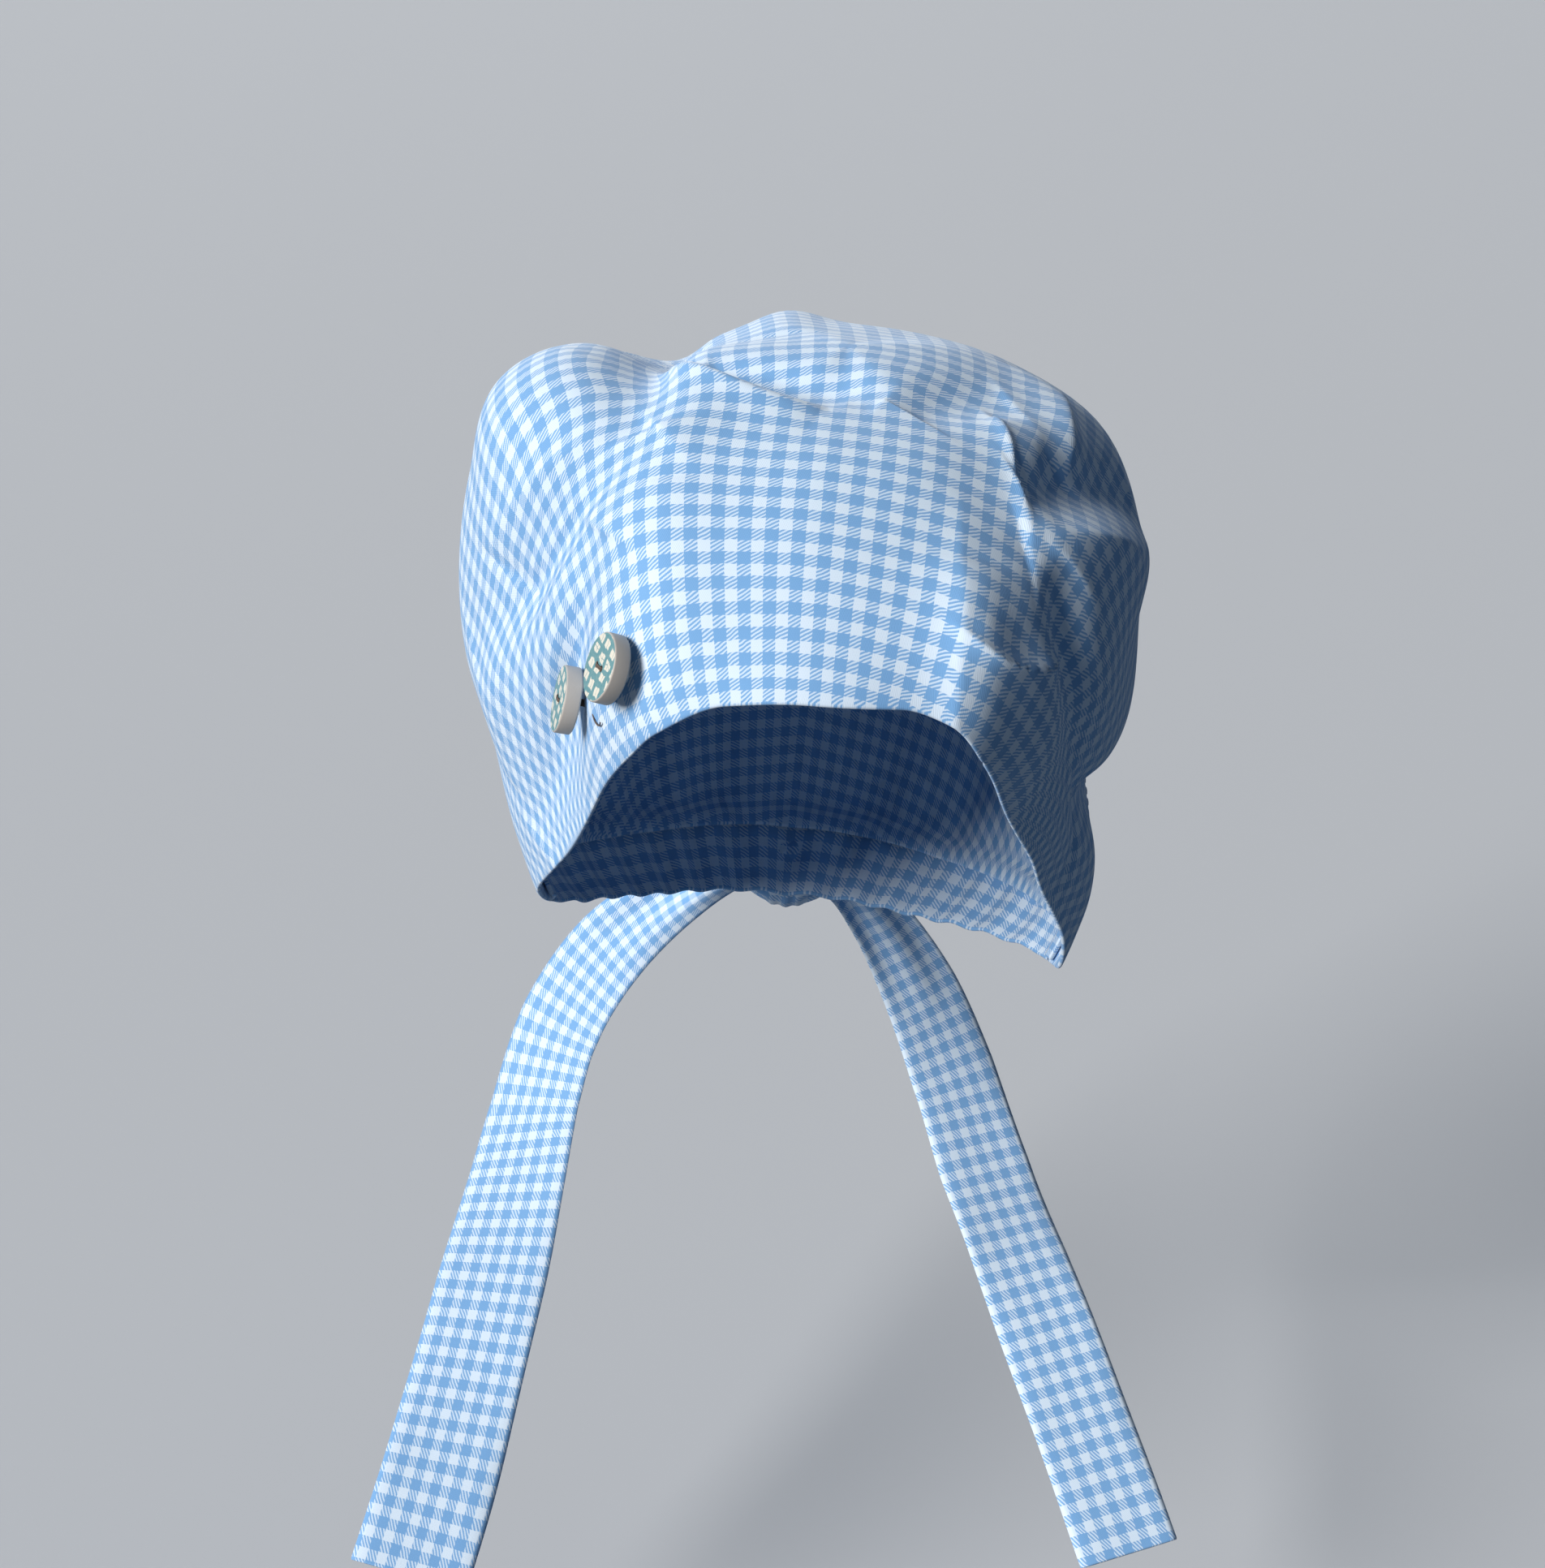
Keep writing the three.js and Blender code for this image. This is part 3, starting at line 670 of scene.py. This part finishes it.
back_turns = np.linspace(SIDE_CORNER - SIDE_LAP, 360 + SIDE_LAP - SIDE_CORNER, 312)[:, None]
back_round = np.radians(back_turns)
back_bearings = from_front(back_turns)
at_side = np.abs(back_bearings) < SIDE_CORNER + 0.3
side_share = np.clip((np.abs(back_bearings) - SIDE_CORNER) / SIDE_FADE, 0, 1)
seam_tilt = along_table(BACK_SEAM, np.abs(back_bearings))
casing_tilt = casing_top(back_bearings)
pouch_top, pouch_bottom = seam_tilt - SEAM_GAP, casing_tilt + SEAM_GAP
allowance = np.linspace(TUCK, 0.5, 5)
pouch_tilts = np.concatenate([
    pouch_top + allowance,
    pouch_top + (pouch_bottom - pouch_top) * np.linspace(0, 1, 81),
    pouch_bottom - allowance[::-1] * 0.7,
], 1)
to_edge = np.maximum(0, np.minimum(seam_tilt - pouch_tilts, pouch_tilts - casing_tilt))
near_edge = np.exp(-to_edge / GATHER_REACH)
risen = 0.22 + 0.78 * np.clip(to_edge / 4.5, 0, 1)
phase = back_round * GATHERS + 1.4 * np.sin(back_round * 3.3) + 0.9 * np.sin(back_round * 7.1)
gathers = np.cos(phase) + 0.45 * np.cos(phase * 2.13 + 1.0) * near_edge
pouch_lift = GATHER_HEIGHT * side_share * risen * near_edge * gathers
tucked = (pouch_tilts > pouch_top + 0.2) | (pouch_tilts < pouch_bottom - 0.2) | at_side
pouch_lift = np.where(tucked, UNDER + np.clip(pouch_lift * 0.2, -0.4, 0.4), pouch_lift)
pouch_points = cloth_face(back_bearings, pouch_tilts, PANEL_FOLDS, pouch_lift)
pouch_across = (back_turns - 180) / 180 * math.pi * POUCH_RADIUS * POUCH_FULLNESS
pouch_down = -run_length(pouch_points)
pouch_down = pouch_down - pouch_down.mean(1, keepdims=True)
pouch = cloth_shell("gingham_pouch", pouch_points, flat_places(pouch_across, pouch_down), ring=False)
pouch.data.materials.append(panel_cloth)
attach(pouch, "root")
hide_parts("crown_pouch")


# Nape casing
# A narrow casing of the same cloth that closes the cap round the nape. The ties run through it and draw it
# in, so it puckers finely.
CASING_RADIUS = 86.0
PUCKERS = 34  # in a whole turn
PUCKER_HEIGHT = 0.7
CASING_CROWN = 1.4
band_top = casing_tilt - SEAM_GAP
band_bottom = tilt_at_height(back_bearings, along_table(FRONT_EDGE, back_bearings))
band_shares = np.linspace(0, 1, 25)
band_tilts = band_top + (band_bottom + 0.4 - band_top) * band_shares
pucker = PUCKER_HEIGHT * side_share * np.cos(back_round * PUCKERS + 1.2 * np.sin(back_round * 5))
band_crown = CASING_CROWN * np.sin(band_shares * math.pi) ** 0.7 * side_share
band_lift = np.where(at_side, UNDER, pucker + band_crown)
band_points = cloth_face(back_bearings, band_tilts, PANEL_FOLDS, band_lift)
band_across = (back_turns - 180) / 180 * math.pi * CASING_RADIUS
band_down = -band_shares * CASING_HEIGHT * 1.25
nape_band = cloth_shell("gingham_nape_casing", band_points, flat_places(band_across, band_down), ring=False)
nape_band.data.materials.append(panel_cloth)
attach(nape_band, "root")
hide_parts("nape_band")


# Seam stitches
# White cotton thread, sewn by machine along the panel's back edge, just above the pouch, and along the top of
# the casing. Each stitch lies on the cloth and dives in at both ends.
STITCH = 2.3
STITCH_GAP = 0.8
THREAD = 0.22
STITCH_RINGS = (  # place along the stitch, share of the thread's size, and rise over the cloth
    (-1, 0.25, -0.16), (-0.8, 0.85, 0.04), (0, 1, 0.12), (0.8, 0.85, 0.04), (1, 0.25, -0.16),
)
STITCH_SIDES = 6


def sew(name, paths):
    """One mesh of short stitches along paths of points in millimetres."""
    rings = len(STITCH_RINGS)
    stitch_faces = grid_faces(rings, STITCH_SIDES)
    stitch_faces += [range(STITCH_SIDES), range((rings - 1) * STITCH_SIDES, rings * STITCH_SIDES)]
    around = np.arange(STITCH_SIDES)[:, None] * 2 * math.pi / STITCH_SIDES
    points, faces = [], []
    for path in paths:
        length = run_length(path)
        for begin in np.arange(1, length[-1] - STITCH - 1, STITCH + STITCH_GAP):
            at = begin + STITCH * np.array([0, 0.5, 1])
            start, middle, end = np.stack([np.interp(at, length, path[:, c]) for c in range(3)], -1)
            along = (end - start) / np.linalg.norm(end - start)
            out = middle - MIDDLE
            out = out - along * (out @ along)
            out /= np.linalg.norm(out)
            spoke = np.cross(along, out) * np.cos(around) + out * np.sin(around)
            first = len(points)
            faces += [[first + corner for corner in face] for face in stitch_faces]
            for place, size, rise in STITCH_RINGS:
                points.extend(middle + along * place * STITCH / 2 + out * rise + spoke * THREAD * size)
    return mesh_piece(name, points, faces)


def thread_material(name, light, dark):
    """Twisted cotton thread, read from the object's own coordinates."""
    material, tree = new_material(name)
    twist = noise(tree, add_node(tree, "TexCoord").outputs["Object"], 2600, 2.0)
    colour = mixed(tree, twist, (*dark, 1), (*light, 1))
    roughness = map_range(tree, twist, {"To Min": 0.6, "To Max": 0.85})
    dress_shader(tree, colour, roughness, twist, 0.4, 0.00005)
    return material


seam_turns = np.linspace(SIDE_CORNER + 2, 358 - SIDE_CORNER, 400)
seam_bearings = from_front(seam_turns)
over_seam = along_table(BACK_SEAM, np.abs(seam_bearings)) + 2.0
on_casing = casing_top(seam_bearings) - 1.6
casing_pucker = np.interp(seam_turns, back_turns[:, 0], band_lift[:, 3])
seam_stitches = sew("seam_stitches", [
    cloth_face(seam_bearings, over_seam, PANEL_FOLDS + FINE_CREASES),
    cloth_face(seam_bearings, on_casing, PANEL_FOLDS, casing_pucker),
])
white_thread = thread_material("white_cotton_thread", (0.80, 0.86, 0.92), (0.58, 0.66, 0.76))
seam_stitches.data.materials.append(white_thread)
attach(seam_stitches, "root")


# Ties
# Two strips folded double and turned, sewn along one edge, leaving the knot at the nape and hanging forward
# beside the neck. They end square.
TIE_WALL = 1.2
TIE_STEPS = 240
TIE_POINTS_ACROSS = 21
TIE_HEM = 0.12  # half of the thickness left at the folded edges
DRAWN_LENGTH = 70.0  # over which the folds drawn in by the knot open out
TIE_WAYS = {  # x, y, z, width and turn at each station
    "tie_left": [
        (-15.6, 80, -175, 13, 40), (-32, 87, -188, 19, 36), (-52, 92, -212, 26, 30),
        (-65, 88, -237, 31, 28), (-70, 74, -258, 33, 32), (-72, 50, -273, 33.5, 24),
        (-74, 22, -288, 33.5, 14), (-77, -6, -306, 33.5, 6), (-80, -30, -323, 33.5, 2),
        (-84, -48, -340, 33.5, 0),
    ],
    "tie_right": [
        (16.1, 80, -175, 13, -30), (29, 86, -189, 18, -25), (45, 88, -213, 24, -20),
        (58, 82, -237, 28, -14), (70, 64, -259, 29.5, -10), (82, 42, -276, 29.5, -6),
        (95, 18, -295, 29.5, -3), (107, -4, -313, 29.5, 0), (116.5, -22, -328, 29.5, 0),
    ],
}


def centripetal(points, shares):
    """The same rounded way through the stations as the solid follows."""
    last = len(points) - 1
    result = []
    for t in shares * last:
        k = min(int(t), last - 1)
        w = t - k
        p0 = points[k - 1] if k > 0 else 2 * points[0] - points[1]
        p1, p2 = points[k], points[k + 1]
        p3 = points[k + 2] if k + 2 <= last else 2 * points[last] - points[last - 1]
        d0, d1, d2 = (max(np.linalg.norm(b - a) ** 0.5, 1e-4) for a, b in ((p0, p1), (p1, p2), (p2, p3)))
        m1 = ((p1 - p0) / d0 - (p2 - p0) / (d0 + d1) + (p2 - p1) / d1) * d1
        m2 = ((p2 - p1) / d1 - (p3 - p1) / (d1 + d2) + (p3 - p2) / d2) * d1
        h = (2 * w**3 - 3 * w**2 + 1, w**3 - 2 * w**2 + w, -2 * w**3 + 3 * w**2, w**3 - w**2)
        result.append(h[0] * p1 + h[1] * m1 + h[2] * p2 + h[3] * m2)
    return np.array(result)


def hang_tie(name, rows, seed):
    """One tie, from inside the knot down to its square end."""
    in_knot = (rows[0][0] * 0.35, 79.4, -174.2, 9, rows[0][4])
    rows = np.array([in_knot, *rows], float)
    shares = np.linspace(0, 1, TIE_STEPS)
    way = centripetal(rows[:, :3], shares)
    tangent = np.gradient(way, axis=0)
    tangent /= np.linalg.norm(tangent, axis=1, keepdims=True)
    length = run_length(way)
    station = shares * (len(rows) - 1)
    width, turn = (np.interp(station, np.arange(len(rows)), rows[:, c])[:, None] for c in (3, 4))
    side = np.array([1.0, 0, 0]) - tangent * tangent[:, :1]
    side /= np.linalg.norm(side, axis=1, keepdims=True)
    turn = np.radians(turn)
    side = side * np.cos(turn) + np.cross(tangent, side) * np.sin(turn)
    face = np.cross(side, tangent)
    face /= np.linalg.norm(face, axis=1, keepdims=True)
    u = np.linspace(-1, 1, TIE_POINTS_ACROSS)
    down = length[:, None]
    fold = np.clip(1 - down / DRAWN_LENGTH, 0, 1) * 2.4 * np.cos(u * math.pi * 1.6 + seed)
    sway = 0.5 * np.sin(down / 21 + seed) * u + 0.35 * np.sin(down / 9.5 + 2 * seed) * u**3
    middle = way[:, None] + side[:, None] * (u * width / 2)[..., None]
    middle = middle + face[:, None] * (fold + sway)[..., None]
    thick = face[:, None] * (TIE_WALL / 2 * (1 - np.abs(u) ** 9) + TIE_HEM)[None, :, None]
    ring = np.concatenate([middle + thick, (middle - thick)[:, ::-1]], 1)
    end = ring[-1:] + tangent[-1] * 0.5
    end = end.mean(1, keepdims=True) + (end - end.mean(1, keepdims=True)) * 0.985
    ring = np.concatenate([ring[:1] - tangent[0] * 0.4, ring, end], 0)
    full = rows[-1, 3]
    across = np.concatenate([u, u[::-1]]) * full / 2
    down = np.concatenate([[length[0] - 0.4], length, [length[-1] + 0.5]])[:, None]
    n, m = ring.shape[:2]
    faces = grid_faces(n, m)
    for i in (0, n - 1):
        for k in range(TIE_POINTS_ACROSS - 1):
            faces.append((i * m + k, i * m + k + 1, i * m + m - 2 - k, i * m + m - 1 - k))
    places = flat_places(down, across).reshape(-1, 2)
    obj = mesh_piece("gingham_" + name, ring.reshape(-1, 3), faces, places)
    obj.data.materials.append(panel_cloth)
    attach(obj, "root")
    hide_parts(name)


for count, (name, rows) in enumerate(TIE_WAYS.items()):
    hang_tie(name, rows, 0.8 + count * 1.9)


# Knot at the nape
# The two ties cross and are pulled tight into one soft knot, a wrap over a bundle of folds.
KNOT_MIDDLE = Vector((0, 0.0793, -0.1738))
KNOT_SIZE = Vector((0.029, 0.015, 0.019))
WRAP_HALF = 0.0058  # half the width of the wrap round the middle
KNOT_ROUND = 62  # millimetres of cloth round the bundle
KNOT_ACROSS = 32


def deselect():
    for obj in bpy.context.selected_objects:
        obj.select_set(False)


deselect()
bpy.ops.mesh.primitive_uv_sphere_add(segments=96, ring_count=64, radius=1)
knot = bpy.context.object
knot.name = knot.data.name = "gingham_knot"
for vertex in knot.data.vertices:
    y, z, x = vertex.co  # lays the sphere's axis from side to side
    off_axis = math.hypot(y, z) or 1e-6
    angle = math.atan2(z, y)
    wrap = math.exp(-((x * KNOT_SIZE.x / 2 / WRAP_HALF) ** 4))
    pleat = 0.00045 * math.sin(angle * 9 + 2.2 * x) * (1 - wrap) * min(1, off_axis * 1.5)
    line = 0.0003 * math.sin(x * 21 + math.sin(angle * 2)) * wrap
    grow = 0.0012 * wrap + pleat + line
    vertex.co = KNOT_MIDDLE + Vector((
        x * KNOT_SIZE.x / 2,
        y * KNOT_SIZE.y / 2 + grow * y / off_axis,
        z * KNOT_SIZE.z / 2 + grow * z / off_axis,
    ))
layer = knot.data.uv_layers[0]
layer.name = "cloth"
for item in layer.data:
    item.uv = (item.uv[0] * KNOT_ROUND, item.uv[1] * KNOT_ACROSS)
knot.data.shade_smooth()
knot.data.materials.append(panel_cloth)
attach(knot, "root")
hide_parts("nape_knot")


# Buttons
# Two round flat wooden buttons, printed on the face with a loose teal plaid, sewn on through two holes.
BUTTON_RADIUS = 0.008
BUTTON_THICKNESS = 0.004
RIM_ROUNDING = 0.00045
HOLE_RADIUS = 0.0008
HOLE_SHIFT = 0.0015
PLAID_TURN = math.radians(-8)


def apply_modifier(piece, label, kind, **settings):
    """Gives a piece a modifier and applies it."""
    modifier = piece.modifiers.new(label, kind)
    for key, value in settings.items():
        setattr(modifier, key, value)
    bpy.context.view_layer.objects.active = piece
    bpy.ops.object.modifier_apply(modifier=label)


def button_place(at, looks, shank):
    """Where a button goes that is turned level, faces one way and stands off the cloth by its shank."""
    normal = way_out(*np.array(looks, float))
    seat = cloth_face(*np.array(at, float), PANEL_FOLDS)
    middle = seat + normal * (shank + 1000 * BUTTON_THICKNESS / 2)
    level = Vector((0, 0, 1)).cross(Vector(normal)).normalized()
    turn = Matrix((level, Vector(normal).cross(level), normal)).transposed().to_4x4()
    return Matrix.Translation(Vector(middle) * 0.001) @ turn


def wooden_button(name, place):
    deselect()
    bpy.ops.mesh.primitive_cylinder_add(vertices=96, radius=BUTTON_RADIUS, depth=BUTTON_THICKNESS)
    button = bpy.context.object
    button.name = button.data.name = name
    apply_modifier(button, "rounded rim", "BEVEL", width=RIM_ROUNDING, segments=4, limit_method="ANGLE")
    for shift in (-HOLE_SHIFT, HOLE_SHIFT):
        at = (shift, 0, 0)
        bpy.ops.mesh.primitive_cylinder_add(vertices=24, radius=HOLE_RADIUS, depth=0.01, location=at)
        drill = bpy.context.object
        apply_modifier(button, "thread hole", "BOOLEAN", object=drill, solver="EXACT")
        bpy.data.objects.remove(drill)
    layer = button.data.uv_layers[0]
    layer.name = "face"
    cos, sin = math.cos(PLAID_TURN), math.sin(PLAID_TURN)
    for loop in button.data.loops:
        p = button.data.vertices[loop.vertex_index].co * 1000
        layer.data[loop.index].uv = (p.x * cos + p.y * sin, p.y * cos - p.x * sin + 3 * min(0, p.z))
    button.data.transform(place)
    button.data.shade_smooth()
    button.select_set(True)
    bpy.context.view_layer.objects.active = button
    bpy.ops.object.shade_smooth_by_angle(angle=math.radians(40))
    return button


def plaid_print():
    """Loose hand-drawn plaid: wide lines both ways, thin ones between them. And the wood's grain, in mm."""
    sockets = {"Place": "Vector"}, {"Print": "Float", "Grain": "Float"}
    group, given, made = node_group("teal_plaid_print", *sockets)
    calc = partial(maths, group)
    place = given["Place"]
    flat = add_node(group, "SeparateXYZ", {0: place}).outputs
    sway = drift(group, place, 0.28, 1.0, 2.2)
    ragged = drift(group, place, 2.4, 2.0, 0.35)
    u = calc("ADD", flat[0], sway)
    v = calc("SUBTRACT", flat[1], sway)

    def lines(value, period, shift, half_width):
        off = calc("MULTIPLY", off_stripe(group, calc("ADD", value, shift), period), period)
        return calc("MULTIPLY", calc("SUBTRACT", half_width, calc("ADD", off, ragged)), 9.0, clamp=True)

    wide = calc("MAXIMUM", lines(u, 4.3, 0.3, 0.78), lines(v, 3.3, 1.1, 0.72))
    thin = calc("MAXIMUM", lines(u, 4.3, 2.3, 0.16), lines(v, 9.9, 2.8, 0.15))
    both = calc("MAXIMUM", wide, calc("MULTIPLY", thin, 0.75))
    ink = calc("SUBTRACT", 1.1, calc("MULTIPLY", noise(group, place, 1.2, 3.0), 0.4))
    feed(group, made["Print"], calc("MULTIPLY", both, ink, clamp=True))
    stretched = add_node(group, "Mapping", {"Vector": place, "Scale": (0.5, 6.0, 6.0)}).outputs[0]
    feed(group, made["Grain"], noise(group, stretched, 1.0, 4.0))
    return group


THREAD_RADIUS = 0.00022
STRAND = (  # along the button and above its face
    (-0.0016, -0.0012), (-0.0016, 0.0), (-0.0012, 0.00022), (0, 0.00026), (0.0012, 0.00022), (0.0016, 0.0),
    (0.0016, -0.0012),
)
STEM_RADIUS = 0.0007
STEM_TURNS = 8
STEM_STEPS = 120


def lay_thread(points, radius=THREAD_RADIUS, place=Matrix(), smooth=False):
    """A round thread along points in metres."""
    curve = bpy.data.curves.new("thread", "CURVE")
    curve.dimensions = "3D"
    curve.bevel_depth = radius
    curve.bevel_resolution = 2
    curve.use_fill_caps = True
    spline = curve.splines.new("NURBS" if smooth else "POLY")
    spline.points.add(len(points) - 1)
    for point, spot in zip(spline.points, points):
        point.co = (*spot, 1)
    if smooth:
        spline.order_u = 3
        spline.use_endpoint_u = True
    curve.transform(place)
    part = bpy.data.objects.new("thread", curve)
    bpy.context.scene.collection.objects.link(part)
    return part


def sew_on(place, shank):
    """The thread of one button: two strands across its holes and a wound stem down to the cloth."""
    half = BUTTON_THICKNESS / 2
    parts = []
    for shift in (-0.9 * THREAD_RADIUS, 0.9 * THREAD_RADIUS):
        strand = [(along, shift, half + rise) for along, rise in STRAND]
        parts.append(lay_thread(strand, place=place))
    stem = []
    for share in np.arange(STEM_STEPS) / STEM_STEPS:
        a = 2 * math.pi * STEM_TURNS * share
        down = -half + 0.0002 - (shank * 0.001 + 0.0008) * share
        stem.append((STEM_RADIUS * math.cos(a), STEM_RADIUS * math.sin(a), down))
    return [*parts, lay_thread(stem, place=place)]


plaid = plaid_print()
TEAL_INK = (0.065, 0.235, 0.275, 1)


def printed_wood(name, colour, paint):
    """Wood in the round: a colour over the grain, and the plaid printed on it as strongly as paint says."""
    material, tree = new_material(name)
    place = add_node(tree, "UVMap", uv_map="face").outputs[0]
    pattern = add_node(tree, "Group", {"Place": place}, node_tree=plaid).outputs
    grain = pattern["Grain"]
    ground = mixed(tree, grain, (*[c * 0.82 for c in colour], 1), (*colour, 1))
    inked = mixed(tree, maths(tree, "MULTIPLY", pattern["Print"], paint), ground, TEAL_INK)
    dress_shader(tree, inked, map_range(tree, grain, {"To Min": 0.42, "To Max": 0.6}), grain, 0.25, 0.00008)
    return material


printed_face = printed_wood("printed_button_face", (0.76, 0.72, 0.62), 1.0)
bare_side = printed_wood("bare_button_wood", (0.52, 0.475, 0.43), 0.0)
thread_parts = []
for name, at, looks, shank in (  # where it sits and looks, and how far it stands off the cloth
    ("button_upper", (-29.2, 2.8), (-66, 16), 2.5),
    ("button_lower", (-45.2, -9.6), (-77, 9), 2.3),
):
    place = button_place(at, looks, shank)
    button = wooden_button("wooden_" + name, place)
    thread_parts += sew_on(place, shank)
    button.data.materials.append(bare_side)
    button.data.materials.append(printed_face)
    facing = Vector(way_out(*np.array(looks, float)))
    for face in button.data.polygons:
        face.material_index = int(face.normal.dot(facing) > 0.9)
    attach(button, "root")
    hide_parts(name)


# Button thread
# Brown cotton sewing thread: the strands and stems that hold the buttons, and a loose end that curls on the
# cloth below them, all in one piece.
LOOSE_END = [  # bearing, tilt and height over the cloth
    (-37.6, -7.4, 0.0), (-36.7, -7.8, 0.4), (-35.8, -8.1, 0.5), (-35.0, -8.1, 0.5), (-34.5, -7.6, 0.6),
    (-34.3, -7.1, 0.7),
]
all_folds = PANEL_FOLDS + FINE_CREASES
loose = [cloth_face(*np.array((b, t)), all_folds, lift) * 0.001 for b, t, lift in LOOSE_END]
thread_parts.append(lay_thread(loose, THREAD_RADIUS * 0.8, smooth=True))
deselect()
for obj in thread_parts:
    obj.select_set(True)
bpy.context.view_layer.objects.active = thread_parts[0]
bpy.ops.object.convert(target="MESH")
bpy.ops.object.join()
button_thread = bpy.context.object
button_thread.name = button_thread.data.name = "button_thread"
button_thread.data.materials.clear()
brown_thread = thread_material("brown_cotton_thread", (0.16, 0.11, 0.085), (0.07, 0.05, 0.04))
button_thread.data.materials.append(brown_thread)
button_thread.data.shade_smooth()
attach(button_thread, "root")


# Floor, light and camera
# A plain pale floor, soft window light from the upper left front, a weaker light from behind and a dim bluish
# fill all round. The camera stands where the photograph was taken.
FLOOR_HEIGHT = -0.40
deselect()
bpy.ops.mesh.primitive_plane_add(size=40, location=(0, 0, FLOOR_HEIGHT))
floor = bpy.context.object
floor.name = "floor"
floor.visible_diffuse = False
floor_paint, floor_tree = new_material("pale_floor")
floor_shader = floor_tree.nodes["Principled BSDF"].inputs
floor_shader["Base Color"].default_value = (0.62, 0.63, 0.65, 1)
floor_shader["Roughness"].default_value = 0.9
floor.data.materials.append(floor_paint)

for name, energy, angle, colour, towards in (
    ("window", 4.3, 28, (1.0, 0.985, 0.96), (0.710, 0.596, -0.375)),
    ("back_fill", 1.5, 50, (0.92, 0.96, 1.0), (0.30, -0.90, -0.32)),
):
    sun = bpy.data.lights.new(name, "SUN")
    sun.energy = energy
    sun.angle = math.radians(angle)
    sun.color = colour
    lamp = bpy.data.objects.new(name, sun)
    lamp.rotation_euler = Vector(towards).to_track_quat("-Z", "Y").to_euler()
    bpy.context.scene.collection.objects.link(lamp)
world = bpy.data.worlds.new("room")
world.use_nodes = True
room = world.node_tree
fill = room.nodes["Background"]
fill.inputs["Color"].default_value = (0.54, 0.73, 1.0, 1)
fill.inputs["Strength"].default_value = 0.12
backdrop = add_node(room, "Background", {"Color": (0.50, 0.51, 0.53, 1)})
seen = add_node(room, "LightPath").outputs["Is Camera Ray"]
either = add_node(room, "MixShader", {0: seen, 1: fill.outputs[0], 2: backdrop.outputs[0]})
feed(room, room.nodes["World Output"].inputs["Surface"], either.outputs[0])
bpy.context.scene.world = world
bpy.context.scene.view_settings.view_transform = "Standard"

FRAME_WIDTH = 1904  # in the photograph's pixels
FOCAL_LENGTH = 2990  # in the same pixels
lens = bpy.data.cameras.new("camera")
lens.sensor_fit = "HORIZONTAL"
lens.sensor_width = 36
lens.lens = lens.sensor_width * FOCAL_LENGTH / FRAME_WIDTH
camera = bpy.data.objects.new("camera", lens)
bpy.context.scene.collection.objects.link(camera)
right = Vector((0.995, 0.039, 0.097)).normalized()
ahead = Vector((0, 0.927, -0.375)).normalized()
up = right.cross(ahead).normalized()
right = ahead.cross(up)
turn = Matrix((right, up, -ahead)).transposed().to_4x4()
camera.matrix_world = Matrix.Translation((-0.0070, -0.5839, 0.1221)) @ turn
bpy.context.scene.camera = camera
